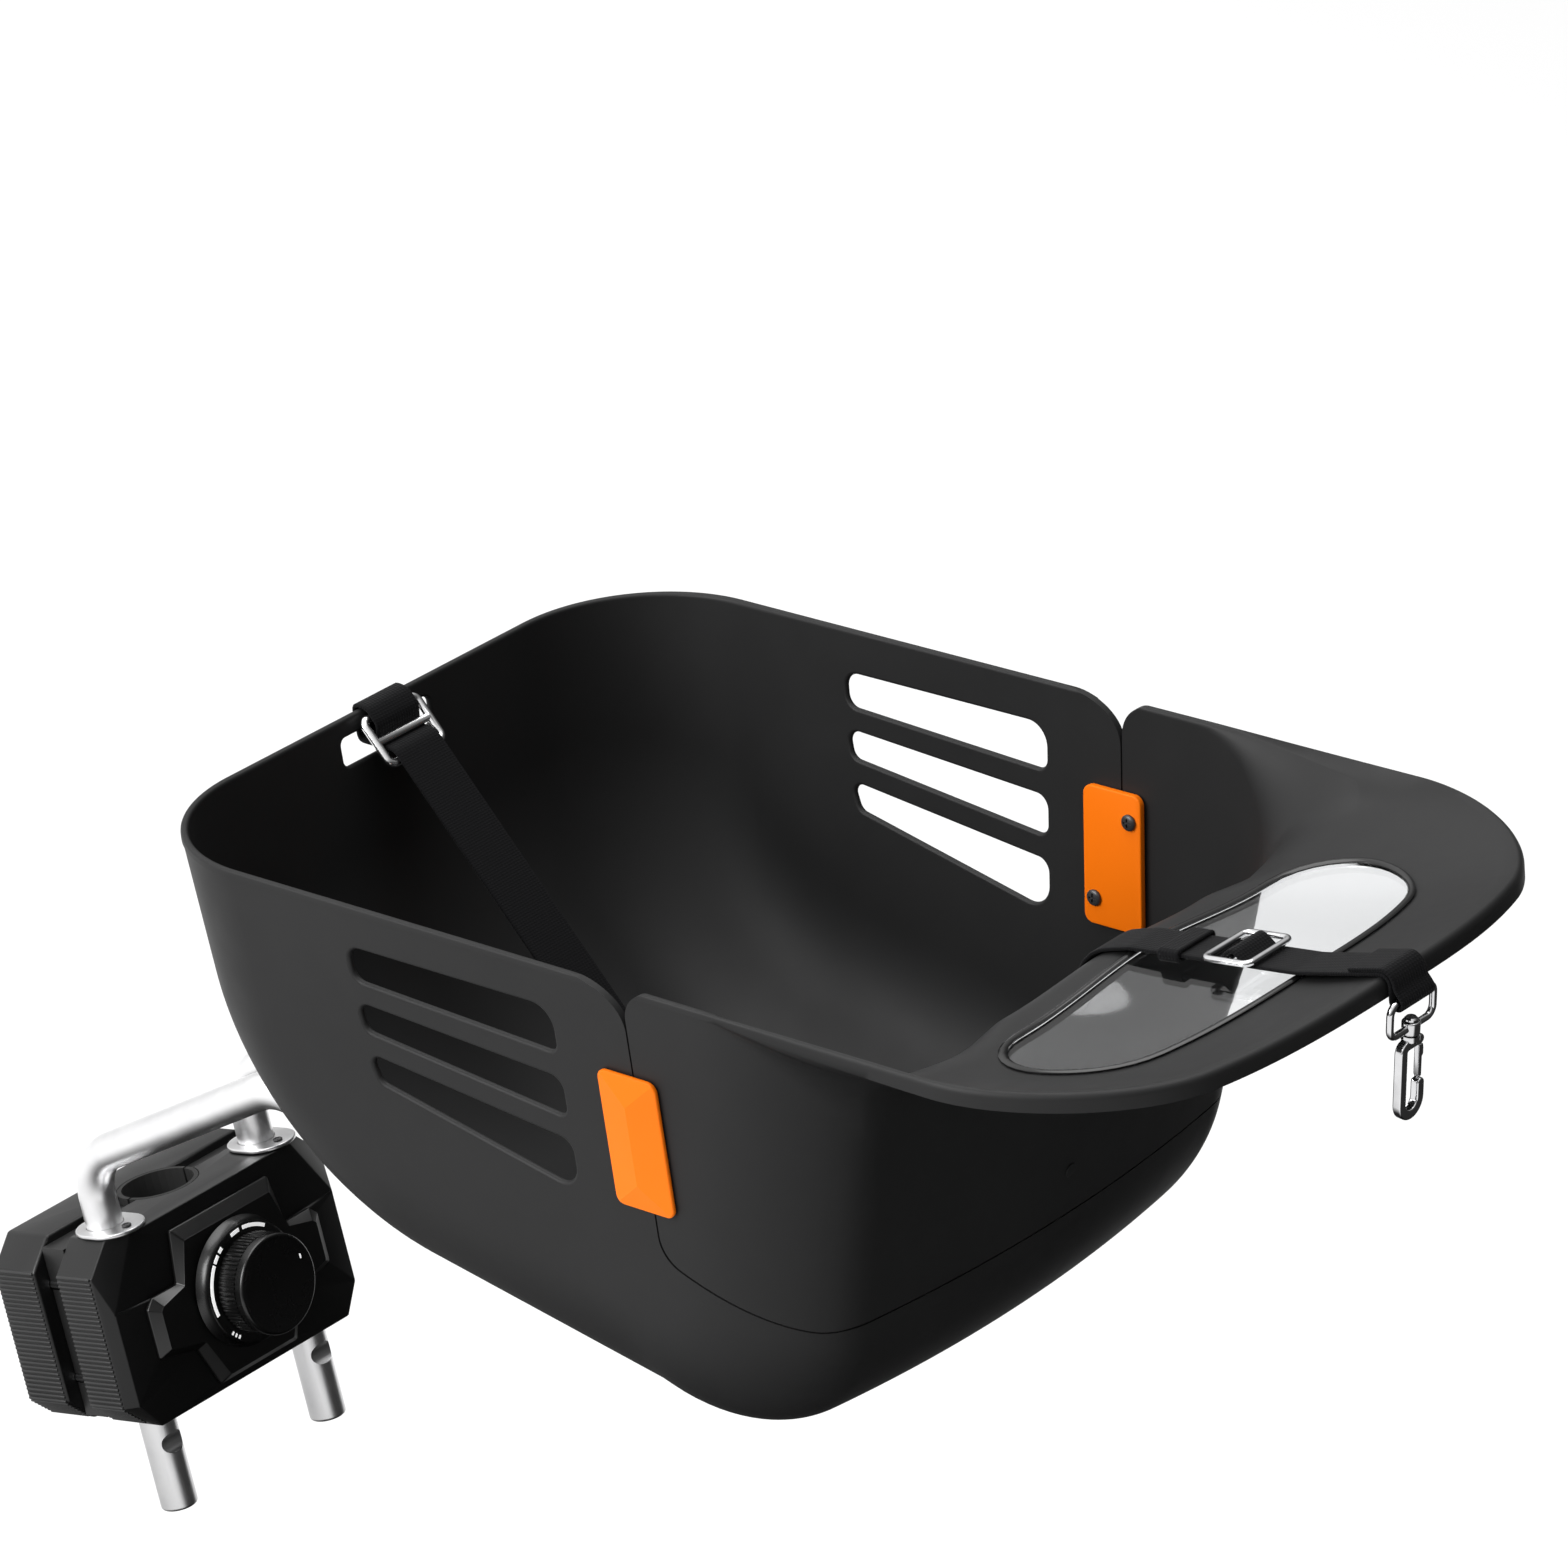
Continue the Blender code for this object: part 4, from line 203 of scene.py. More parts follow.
basket_tilt = radians(5.8)
basket_turn = at(0.1228, 0, 0.3187) @ Matrix.Rotation(-basket_tilt, 4, "Y")
tub_half_width = 0.1524
tub_front = 0.3769
tub_depth = 0.2195
depth_at = 0.300
tub_wall = 0.003
tub_middle = 0.190
front_bow = 0.0173
side_lean = radians(4.55)
rear_lean = radians(5.6)
front_lean = radians(14.2)
floor_lean = radians(11.36)
rear_bend = 0.1028
front_bend = 0.0788
side_bend = 0.0633
side_bend_rear = 0.064
side_bend_front = 0.0355
rim_roll = 0.0012
lip_front = 0.5110
lip_bow = 0.041
lip_corner = 0.060
lip_roll = 0.003
lip_height = 0.008
lip_dip = 0.024
lip_bead = 0.009
crown = 0.0062
crown_half_width = 0.115
crown_run = 0.024
flare_run = 0.012


def rounded_max(one, other, radius):
    outside = np.hypot(np.maximum(one + radius, 0), np.maximum(other + radius, 0))
    return np.minimum(-radius, np.maximum(one, other)) + outside


def tub_distance(points):
    """How far points lie outside the tub: leaning walls, a sloping floor, soft bends."""
    x, y, z = points[..., 0], points[..., 1], points[..., 2]
    side = (np.abs(y) - (tub_half_width + tan(side_lean) * z)) * cos(side_lean)
    rear = (-x - tan(rear_lean) * z) * cos(rear_lean)
    bow = front_bow * (y / tub_half_width) ** 2
    front = (x + bow - (tub_front + tan(front_lean) * z)) * cos(front_lean)
    base = (-z - (tub_depth + tan(floor_lean) * (x - depth_at))) * cos(floor_lean)
    profile = rounded_max(rounded_max(rear, base, rear_bend), front, front_bend)
    near_rear = np.clip(1 + rear / rear_bend, 0, 1) ** 2
    near_front = np.clip(1 + front / front_bend, 0, 1)
    radius = side_bend + (side_bend_rear - side_bend) * near_rear
    return rounded_max(side, profile, radius + (side_bend_front - side_bend) * near_front)


def lip_distance(points):
    """The same for the bonnet's edge, seen from above."""
    x, y = points[..., 0], points[..., 1]
    front = x + lip_bow * (y / tub_half_width) ** 2 - lip_front
    return rounded_max(np.abs(y) - tub_half_width, front, lip_corner)


def run_out(headings, distance, start=(tub_middle, 0.0, 0.0), limit=0.55):
    """How far each ray from the start goes before it leaves the shape."""
    low = np.zeros(headings.shape[:-1])
    high = np.full(headings.shape[:-1], limit)
    for _ in range(26):
        centre = (low + high) / 2
        inside = distance(np.array(start) + headings * centre[..., None]) < 0
        low, high = np.where(inside, centre, low), np.where(inside, high, centre)
    return low


def level(turns):
    """Level headings at some turns from straight forward."""
    return np.stack([np.cos(turns), np.sin(turns), 0 * turns], -1)


def rim_radius(turns):
    """How far out the rim lies, and the tub's wall below it."""
    tub = run_out(level(turns), tub_distance)
    lip = run_out(level(turns), lip_distance)
    return np.where(np.cos(turns) > 0, np.maximum(lip, tub), tub), tub


def wall_lines(turns, inset):
    """Radius and height down the wall in each direction, inset from its outer face."""
    turn, dip = np.meshgrid(turns, np.linspace(0, pi / 2, 200), indexing="ij")
    heading = np.stack([np.cos(turn) * np.cos(dip), np.sin(turn) * np.cos(dip), -np.sin(dip)], -1)
    run = run_out(heading, lambda spot: tub_distance(spot) + inset)
    return run * np.cos(dip), -run * np.sin(dip)


def ease(value):
    value = np.clip(value, 0, 1)
    return value * value * (3 - 2 * value)


def between(low, high, share):
    return low + (high - low) * share


def run_lengths(across, up):
    """How far along a line each of its points lies."""
    return np.r_[0, np.cumsum(np.hypot(np.diff(across), np.diff(up)))]


def upright_cut(edge, overhang, edge_y, wall_r, wall_z, under):
    """One cut through bonnet and wall, from the rim inward and down to the middle."""
    share = overhang / (overhang + flare_run)
    top = crown * ease(1 - abs(edge_y) / crown_half_width) * ease(overhang / crown_run)
    roll = between(rim_roll, lip_roll, share)
    height = between(tub_wall, lip_height, share)
    face_top = top - tub_wall if under else top
    knee_z = face_top - lip_dip * share
    knee_r = np.interp(-knee_z, -wall_z, wall_r)
    start_r = edge if under else edge - roll
    ramp = np.linspace(1, 0, 90)
    line_r = between(knee_r, start_r, ramp)
    line_z = between(knee_z, face_top, 0.5 * ramp + 0.5 * ramp**4)
    if under:
        line_z -= (height - tub_wall) * np.clip(1 - (edge - line_r) / lip_bead, 0, 1) ** 2
        line_z[0] = top - height
    below = wall_z < knee_z - 0.0003
    path_r, path_z = np.r_[line_r, wall_r[below]], np.r_[line_z, wall_z[below]]
    runs = run_lengths(path_r, path_z)
    knee = runs[len(line_r) - 1]
    reach = min(between(0.017, 0.036, ease((abs(edge_y) - 0.100) / 0.040)), 0.8 * knee)
    if reach > 0.0003:
        first, middle, last = (
            np.array((np.interp(spot, runs, path_r), np.interp(spot, runs, path_z)))
            for spot in (knee - reach, knee, knee + reach)
        )
        turn = np.linspace(0, 1, 40)[:, None]
        bend = (1 - turn) ** 2 * first + 2 * turn * (1 - turn) * middle + turn**2 * last
        early, late = runs < knee - reach, runs > knee + reach
        path_r = np.r_[path_r[early], bend[:, 0], path_r[late]]
        path_z = np.r_[path_z[early], bend[:, 1], path_z[late]]
    path_r[-1] = 0.0
    return path_r, path_z, top, roll, knee, reach


def rows_along(cut, lip_rows, bend_rows, wall_rows):
    """A cut's points, spread anew so that as many lie on its lip, bend and wall each time."""
    path_r, path_z, _, _, knee, reach = cut
    runs = run_lengths(path_r, path_z)
    bend_start = hypot(max(knee - reach, 0), 0.003)
    bend_end = hypot(knee + reach, 0.009)
    spots = np.r_[
        np.linspace(0, bend_start, lip_rows, endpoint=False),
        np.linspace(bend_start, bend_end, bend_rows, endpoint=False),
        np.linspace(bend_end, runs[-1], wall_rows),
    ]
    return np.interp(spots, runs, path_r), np.interp(spots, runs, path_z)


def mesh_from(points, faces):
    """A mesh whose faces all point outwards."""
    mesh = bpy.data.meshes.new("work")
    mesh.from_pydata([tuple(point) for point in points], [], faces)
    shape = bmesh.new()
    shape.from_mesh(mesh)
    bmesh.ops.recalc_face_normals(shape, faces=shape.faces)
    shape.to_mesh(mesh)
    shape.free()
    return mesh


def poled_skin(first, loops, last):
    """A skin over loops of as many points, drawn to a point at each end."""
    count = len(loops[0])
    points = [first] + [spot for loop in loops for spot in loop] + [last]
    foot = 1 + (len(loops) - 1) * count
    faces = []
    for side in range(count):
        after = (side + 1) % count
        faces += [[0, 1 + side, 1 + after], [foot + side, foot + after, len(points) - 1]]
        for low in range(1, foot, count):
            faces.append([low + side, low + after, low + count + after, low + count + side])
    return mesh_from(points, faces)


def moulded_skin(around, lip_rows, bend_rows, wall_rows):
    """Tub and bonnet as one closed skin. Its columns crowd where the rim turns or flares."""
    half = np.linspace(0, pi, 1440)
    edge, tub = rim_radius(half)
    x, y = edge * np.cos(half), edge * np.sin(half)
    heading = np.unwrap(np.arctan2(np.diff(y), np.diff(x)))
    weight = np.hypot(np.diff(x), np.diff(y)) / 0.032
    weight = weight + 4.2 * np.abs(np.r_[0, np.diff(heading)]) + np.abs(np.diff(edge - tub)) / 0.020
    total = np.r_[0, np.cumsum(weight)]
    half = np.interp(np.linspace(0, total[-1], around // 2 + 1), total, half)
    turns = np.r_[half, -half[-2:0:-1]]
    outer, inner = wall_lines(turns, 0.0), wall_lines(turns, tub_wall)
    columns = []
    for turn, edge, tub, *walls in zip(turns, *rim_radius(turns), *outer, *inner):
        overhang = 0.0 if edge - tub < 0.0003 else edge - tub
        edge_y = edge * sin(turn) if cos(turn) > 0 else tub_half_width
        low_cut = upright_cut(edge, overhang, edge_y, *walls[:2], True)
        high_cut = upright_cut(edge, overhang, edge_y, *walls[2:], False)
        low_r, low_z = rows_along(low_cut, lip_rows, bend_rows, wall_rows)
        high_r, high_z = rows_along(high_cut, lip_rows, bend_rows, wall_rows)
        top, roll = high_cut[2:4]
        bend = np.linspace(0, pi / 2, 6)[:-1]
        bend_r, bend_z = edge - roll + roll * np.cos(bend), top - roll + roll * np.sin(bend)
        columns.append((np.r_[low_r[::-1], bend_r, high_r], np.r_[low_z[::-1], bend_z, high_z]))
    loops = []
    for row in range(1, len(columns[0][0]) - 1):
        loops.append([
            (tub_middle + column_r[row] * cos(turn), column_r[row] * sin(turn), column_z[row])
            for turn, (column_r, column_z) in zip(turns, columns)
        ])
    return poled_skin((tub_middle, 0.0, columns[0][1][0]), loops, (tub_middle, 0.0, columns[0][1][-1]))


def rounded(corners, radii, steps=6):
    """A line through corners, flat or in space, each corner rounded by its radius."""
    corners = [Vector(corner) for corner in corners]
    line = []
    for index, corner in enumerate(corners):
        radius = radii[index] if hasattr(radii, "__len__") else radii
        if radius <= 0:
            line.append(corner)
            continue
        before = corners[index - 1] - corner
        after = corners[(index + 1) % len(corners)] - corner
        half = before.angle(after) / 2
        reach = min(radius / tan(half), before.length * 0.495, after.length * 0.495)
        middle = (before.normalized() + after.normalized()).normalized() * (reach / cos(half))
        start, end = before.normalized() * reach - middle, after.normalized() * reach - middle
        swing = start.angle(end)
        for step in range(steps + 1):
            turn = swing * step / steps
            line.append(corner + middle + (start * sin(swing - turn) + end * sin(turn)) / sin(swing))
    return line


def oblong(half_x, half_y, middle=(0.0, 0.0)):
    """The four corners of an upright oblong."""
    signs = ((-1, -1), (1, -1), (1, 1), (-1, 1))
    return [(middle[0] + x * half_x, middle[1] + y * half_y) for x, y in signs]


def grown(outline, width):
    """A closed outline moved outward by a width on every side."""
    area = sum(a[0] * b[1] - b[0] * a[1] for a, b in zip(outline, outline[1:] + outline[:1]))
    width = width if area > 0 else -width
    moved = []
    for index, spot in enumerate(outline):
        spot = Vector(spot)
        before = (spot - Vector(outline[index - 1])).normalized()
        after = (Vector(outline[(index + 1) % len(outline)]) - spot).normalized()
        normal = Vector((before.y + after.y, -before.x - after.x)).normalized()
        moved.append(spot + normal * (width / max(normal.dot(Vector((before.y, -before.x))), 0.35)))
    return moved


def skin(loops, closed=False):
    """A skin over loops of as many points, with a flat cap at each end unless it is closed."""
    count, total = len(loops[0]), len(loops)
    faces = [] if closed else [list(range(count)), list(range((total - 1) * count, total * count))]
    for ring in range(total if closed else total - 1):
        low, high = ring * count, (ring + 1) % total * count
        faces += [[low + i, low + (i + 1) % count, high + (i + 1) % count, high + i] for i in range(count)]
    return mesh_from([point for loop in loops for point in loop], faces)


def prism(outline, low, high, axes="XYZ"):
    """A closed outline drawn out from low to high along the third of the axes."""
    loops = []
    for height in (low, high):
        spots = [dict(zip(axes, (*point, height))) for point in outline]
        loops.append([(spot["X"], spot["Y"], spot["Z"]) for spot in spots])
    return skin(loops)


def rod(path, radii, sides=16, closed=False, across=Vector((0, 1, 0))):
    """A round bar along a path in one plane, of one radius or one for each point."""
    loops = []
    count = len(path)
    for index, point in enumerate(path):
        point = Vector(point)
        radius = radii[index] if hasattr(radii, "__len__") else radii
        before = Vector(path[index - 1]) if closed or index else point
        after = Vector(path[(index + 1) % count]) if closed or index < count - 1 else point
        along = (after - before).normalized()
        out = along.cross(across).normalized()
        stretch = 1.0
        if (point - before).length > 0 and (after - point).length > 0:
            stretch = 1 / max((point - before).normalized().dot(along), 0.5)
        turns = [tau * side / sides for side in range(sides)]
        loops.append([point + (out * (stretch * cos(turn)) + across * sin(turn)) * radius for turn in turns])
    return skin(loops, closed)


def plain(thing, *tools):
    """The mesh that an object's modifiers make. The object and its tools are taken away."""
    bpy.context.view_layer.update()
    result = bpy.data.meshes.new_from_object(thing.evaluated_get(bpy.context.evaluated_depsgraph_get()))
    for made in (thing, *tools):
        bpy.data.objects.remove(made)
    return result


def carved(mesh, others, operation="DIFFERENCE", solver="MANIFOLD"):
    """The mesh after each of the other meshes is cut from it, or kept, or joined."""
    thing = link("work", mesh)
    tools = [link("tool", other) for other in others]
    for tool in tools:
        cut = thing.modifiers.new("cut", "BOOLEAN")
        cut.object = tool
        cut.operation = operation
        cut.solver = solver
    return plain(thing, *tools)


def joined(meshes):
    """Separate bodies as one mesh."""
    shape = bmesh.new()
    for mesh in meshes:
        shape.from_mesh(mesh)
    made = bpy.data.meshes.new("work")
    shape.to_mesh(made)
    shape.free()
    return made


def finished(name, mesh, look, body, place, stands_for=(), angle=40.0):
    """Puts a mesh in place as a piece of the object that rides on a body."""
    mesh.transform(place)
    mesh.materials.clear()
    mesh.materials.append(look)
    mesh.shade_smooth()
    mesh.set_sharp_from_angle(angle=radians(angle))
    mesh.name = name
    made = link(name, mesh)
    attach(made, body)
    if stands_for:
        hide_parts(*stands_for)


def principled(name, **values):
    """A new material, its nodes and its shader, with the shader's inputs filled in."""
    look = bpy.data.materials.new(name)
    look.use_nodes = True
    shader = look.node_tree.nodes["Principled BSDF"]
    for socket, value in values.items():
        shader.inputs[socket.replace("_", " ")].default_value = value
    return look, look.node_tree, shader


def tinted(tree, shader, height, dark, light, low=0.0, high=1.0):
    """Colours a finish from dark to light as a height goes from low to high."""
    tint = node(tree, "ShaderNodeValToRGB")
    for stop, position, colour in zip(tint.color_ramp.elements, (low, high), (dark, light)):
        stop.position = position
        stop.color = (*colour, 1)
    wire(tree, (height, "Fac", tint, "Fac"), (tint, "Color", shader, "Base Color"))


def dulled(tree, shader, height, **ranges):
    """Takes a finish's roughness from a height."""
    sheen = node(tree, "ShaderNodeMapRange", **ranges)
    wire(tree, (height, "Fac", sheen, "Value"), (sheen, "Result", shader, "Roughness"))


def embossed(tree, shader, height, strength, depth):
    """Gives a finish relief from a height's first output."""
    relief = node(tree, "ShaderNodeBump", Strength=strength, Distance=depth)
    wire(tree, (height, 0, relief, "Height"), (relief, "Normal", shader, "Normal"))


def moulded_plastic(name, dark, light, roughness, grain=900.0, relief=0.00003, gloss=0.5):
    """Injection-moulded plastic: faint flow clouds, fine grain and rubbed high spots."""
    look, tree, shader = principled(name, Specular_IOR_Level=gloss)
    place = node(tree, "ShaderNodeTexCoord")
    cloud = node(tree, "ShaderNodeTexNoise", Scale=9.0, Detail=3.0)
    dust = node(tree, "ShaderNodeTexNoise", Scale=60.0, Detail=6.0)
    spark = node(tree, "ShaderNodeTexNoise", Scale=grain, Detail=2.0)
    wire(tree, *[(place, "Object", height, "Vector") for height in (cloud, dust, spark)])
    tinted(tree, shader, cloud, dark, light, 0.35, 0.70)
    dulled(tree, shader, dust, To_Min=roughness - 0.05, To_Max=roughness + 0.07)
    embossed(tree, shader, spark, 0.5, relief)
    return look


shell_black = moulded_plastic(
    "shell_black", (0.0118, 0.0118, 0.0120), (0.0142, 0.0142, 0.0144), 0.50, 900.0, 0.00003, 0.24
)
seam_x = 0.2635
seam_low = 0.117
seam_front_low = 0.1415
past_front = 0.55
past_side = 0.2


def ahead_of_seam(gap, run, drop, steps=16):
    """All that lies ahead of the seam, its notch at the rim included."""
    line_x = seam_x + gap
    side = -1 if gap < 0 else 1
    turns = [pi / 2 * step / steps for step in range(steps + 1)]
    outline = [(line_x + side * run * (1 - sin(turn)), -drop * (1 - cos(turn))) for turn in turns]
    low, front_low = gap - seam_low, gap - seam_front_low
    lower = [(line_x, -seam_low / 2), (line_x, low), (0.325, front_low), (past_front, front_low)]
    outline += rounded(lower, [0, 0.014, 0.020, 0], 12)
    outline = [(outline[0][0], 0.03)] + outline + [(past_front, 0.03)]
    return prism(outline, -past_side, past_side, "XZY")


edge_round = tub_wall / 2
slot_rears = ((0.1208, 0.1218), (0.1214, 0.1238), (0.1228, 0.1270))
slot_front = 0.2250
slot_depths = (
    (0.0186, 0.0186, 0.0381, 0.0331),
    (0.0431, 0.0493, 0.0662, 0.0552),
    (0.0655, 0.0768, 0.0985, 0.0772),
)
slot_radii = (
    (0.0060, 0.0130, 0.0042, 0.0056),
    (0.0052, 0.0060, 0.0042, 0.0048),
    (0.0050, 0.0058, 0.0120, 0.0048),
)
strap_slot_z = -0.014
whole_skin = moulded_skin(400, 16, 26, 96)
rear_cuts = [ahead_of_seam(-0.0004, 0.029, 0.019)]
round_edges = []
side_middle = edge_round / cos(side_lean)
for rears, depths, radii in zip(slot_rears, slot_depths, slot_radii):
    ends = (rears[0], slot_front, slot_front, rears[1])
    outline = grown(rounded([(x, -depth) for x, depth in zip(ends, depths)], radii, 10), edge_round)
    rear_cuts.append(prism(outline, -past_side, past_side, "XZY"))
    for side in (1, -1):
        path = [(x, side * (tub_half_width + tan(side_lean) * z - side_middle), z) for x, z in outline]
        across = Vector((0, side * cos(side_lean), -sin(side_lean)))
        round_edges.append(rod(path, edge_round, 14, True, across))
strap_slot = grown(rounded(oblong(0.026, 0.006, (0, strap_slot_z)), 0.003), edge_round)
rear_cuts.append(prism(strap_slot, -0.02, 0.04, "YZX"))
rear_middle = edge_round / cos(rear_lean)
path = [(-tan(rear_lean) * z + rear_middle, y, z) for y, z in strap_slot]
round_edges.append(rod(path, edge_round, 14, True, Vector((cos(rear_lean), 0, sin(rear_lean)))))
rear_tub = joined([carved(whole_skin.copy(), rear_cuts), *round_edges])
finished("rear_tub", rear_tub, shell_black, "basket", basket_turn, ["rear_shell"], 50)

# Front moulding: the tub's front wall and the bonnet, which flares forward into a
# broad lip with a thick rolled edge. Same plastic, held by the orange clips.
window_rear = 0.391
window_front = 0.4686
window_half_width = 0.104
window_bow = 0.022
window_corner = 0.028


def window_distance(points):
    x, y = points[..., 0], points[..., 1]
    front = x + window_bow * (y / window_half_width) ** 2 - window_front
    return rounded_max(np.abs(y) - window_half_width, np.maximum(front, window_rear - x), window_corner)


def window_outline(grow):
    """The pane's outline from above, moved outward."""
    headings = level(np.linspace(0, tau, 120, endpoint=False))
    centre = ((window_rear + window_front) / 2, 0.0, 0.0)
    runs = run_out(headings, lambda spots: window_distance(spots) - grow, centre, 0.3)
    return [(centre[0] + run * heading[0], run * heading[1]) for run, heading in zip(runs, headings)]


bonnet = carved(whole_skin.copy(), [ahead_of_seam(0.0004, 0.014, 0.014)], "INTERSECT")
bonnet = carved(bonnet, [prism(window_outline(0.0), -0.05, 0.03)])
finished("front_moulding", bonnet, shell_black, "basket", basket_turn, ["front_shell"], 50)

# Bonnet pane: clear glossy plastic, curved with the bonnet and flush with it. A
# thin glossy black bead runs round it and covers the joint.
clearance = 0.0003
bead_half_width = 0.0018
pane_clear, tree, shader = principled(
    "pane_clear", Base_Color=(0.86, 0.87, 0.88, 1), IOR=1.38, Transmission_Weight=1.0
)
smudge = node(tree, "ShaderNodeTexNoise", Scale=14.0, Detail=5.0)
wire(tree, (node(tree, "ShaderNodeTexCoord"), "Object", smudge, "Vector"))
dulled(tree, shader, smudge, From_Min=0.45, From_Max=0.75, To_Min=0.02, To_Max=0.07)
pane = carved(whole_skin.copy(), [prism(window_outline(-clearance), -0.05, 0.03)], "INTERSECT")
finished("clear_pane", pane, pane_clear, "basket", basket_turn, ["bonnet_pane"], 50)

bead_black = moulded_plastic("bead_black", (0.004, 0.004, 0.004), (0.008, 0.008, 0.008), 0.16, 400.0, 0.00001)
skin_tree = BVHTree.FromPolygons(
    [vertex.co for vertex in whole_skin.vertices], [list(face.vertices) for face in whole_skin.polygons]
)


def top_at(x, y=0.0):
    """Height of the moulding's upper face at a place in plan."""
    return skin_tree.ray_cast(Vector((x, y, 0.2)), Vector((0, 0, -1)))[0].z


bead_loops = []
for one, other in zip(window_outline(-bead_half_width), window_outline(bead_half_width)):
    near, far = top_at(*one), top_at(*other)
    loop = [(*one, near + clearance), (*other, far + clearance)]
    for step in range(7):
        share = step / 6
        lift = 0.0004 + 0.0013 * sin(pi * (0.08 + 0.84 * share)) ** 0.7
        spot = [between(b, a, share) for a, b in zip(one, other)]
        loop.append((*spot, between(far, near, share) + lift))
    bead_loops.append(loop)
window_bead = skin(bead_loops, True)
finished("window_bead", window_bead, bead_black, "basket", basket_turn, ["pane_bead"], 50)

# Side clips: orange moulded plates with a hipped face, one over each seam, screwed
# through the wall to a flat orange keeper inside. They hold both mouldings together.
clip_orange = moulded_plastic(
    "clip_orange", (0.80, 0.155, 0.0020), (0.86, 0.170, 0.0030), 0.46, 700.0, 0.00002, 0.12
)
screw_dark = moulded_plastic("screw_dark", (0.02, 0.02, 0.021), (0.05, 0.05, 0.052), 0.28, 500.0, 0.00001)
clip_x = 0.261
clip_depth = 0.0668
clip_half_width = 0.0145
clip_half_height = 0.0295
clip_edge = 0.0018
clip_crest = 0.0044
ridge_half = 0.0170
roof_spare = 0.001
keeper_back = -0.0067
keeper_thickness = 0.003
clip_screw_x = 0.009
clip_screw_y = 0.018


def softened(mesh, width, segments=3, angle=30.0):
    """The mesh with its hard edges rounded."""
    thing = link("work", mesh)
    edges = thing.modifiers.new("edges", "BEVEL")
    edges.width = width
    edges.segments = segments
    edges.limit_method = "ANGLE"
    edges.angle_limit = radians(angle)
    return plain(thing)


def copies(name, way, kind):
    """The start of a tree that sets copies of a mesh out in some way and paints them."""
    tree = bpy.data.node_groups.new(name, "GeometryNodeTree")
    for socket, sort in (("Geometry", "Geometry"), ("Copies", "Int"), (way, kind), ("Finish", "Material")):
        tree.interface.new_socket(socket, in_out="INPUT", socket_type="NodeSocket" + sort)
    tree.interface.new_socket("Geometry", in_out="OUTPUT", socket_type="NodeSocketGeometry")
    given = node(tree, "NodeGroupInput")
    line = node(tree, "GeometryNodeMeshLine", Offset=(0, 0, 0))
    spread = node(tree, "GeometryNodeInstanceOnPoints")
    real = node(tree, "GeometryNodeRealizeInstances")
    paint = node(tree, "GeometryNodeSetMaterial")
    wire(
        tree, (given, "Copies", line, "Count"), (line, "Mesh", spread, "Points"),
        (given, "Geometry", spread, "Instance"), (spread, "Instances", real, "Geometry"),
        (real, "Geometry", paint, "Geometry"), (given, "Finish", paint, "Material"),
        (paint, "Geometry", node(tree, "NodeGroupOutput"), "Geometry"),
    )
    return tree, given, line, spread


row_tree, given, line, spread = copies("copies_in_a_row", "Step", "Vector")
wire(row_tree, (given, "Step", line, "Offset"))


def repeated(mesh, tree, **values):
    """The plain mesh that a tree makes of a mesh."""
    thing = link("work", mesh)
    step = thing.modifiers.new("copies", "NODES")
    step.node_group = tree
    for socket in tree.interface.items_tree:
        if socket.in_out == "INPUT" and socket.name in values:
            step[socket.identifier] = values[socket.name]
    return plain(thing)


def turned(profile, sides=48):
    """A solid turned about Z from radii and heights, on the axis at both ends or closed."""
    ended = profile[0][0] < 1e-9
    turns = [tau * side / sides for side in range(sides)]
    loops = []
    for radius, height in (profile[1:-1] if ended else profile):
        loops.append([(radius * cos(turn), radius * sin(turn), height) for turn in turns])
    if ended:
        return poled_skin((0, 0, profile[0][1]), loops, (0, 0, profile[-1][1]))
    return skin(loops, True)


def cross_head(radius, height, shank, length):
    """A pan-head screw with a cross recess. Its head rises along Z from zero."""
    dome = [(0.0, height)]
    for turn in (pi / 16 * step for step in range(1, 8)):
        dome.append((radius * sin(turn), height * (0.35 + 0.65 * cos(turn))))
    dome += [(radius, height * 0.30), (radius, 0.0), (shank, 0.0), (shank, -length), (0.0, -length)]
    long_half, short_half = radius * 0.58, radius * 0.13
    arms = [oblong(long_half, short_half), oblong(short_half, long_half)]
    return carved(turned(dome, 32), [prism(arm, height * 0.45, height * 2) for arm in arms], solver="EXACT")


def frame_at(spot, along, out):
    """A frame whose X runs along one way and whose Z runs out along another."""
    made = at(*spot)
    for column, way in enumerate((along, out.cross(along), out)):
        for row in range(3):
            made[row][column] = way[row]
    return made


clip_corners = oblong(clip_half_width, clip_half_height)
clip_outline = rounded(clip_corners, 0.0042, 8)
roof_foot = clip_edge - roof_spare * (clip_crest - clip_edge) / clip_half_width
roof_points = [(x, y, z) for z in (0.0, roof_foot) for x, y in grown(clip_corners, roof_spare)]
roof_points += [(0.0, -ridge_half, clip_crest), (0.0, ridge_half, clip_crest)]
roof_faces = [[0, 1, 2, 3], [0, 1, 5, 4], [1, 2, 6, 5], [2, 3, 7, 6], [3, 0, 4, 7]]
roof_faces += [[4, 5, 8], [5, 6, 9, 8], [6, 7, 9], [7, 4, 8, 9]]
clip_roof = carved(mesh_from(roof_points, roof_faces), [prism(clip_outline, -0.001, 0.02)], "INTERSECT")
clip_roof = softened(clip_roof, 0.0007, 3, 40)
keeper_plate = softened(prism(clip_outline, keeper_back, keeper_back + keeper_thickness), 0.0006)
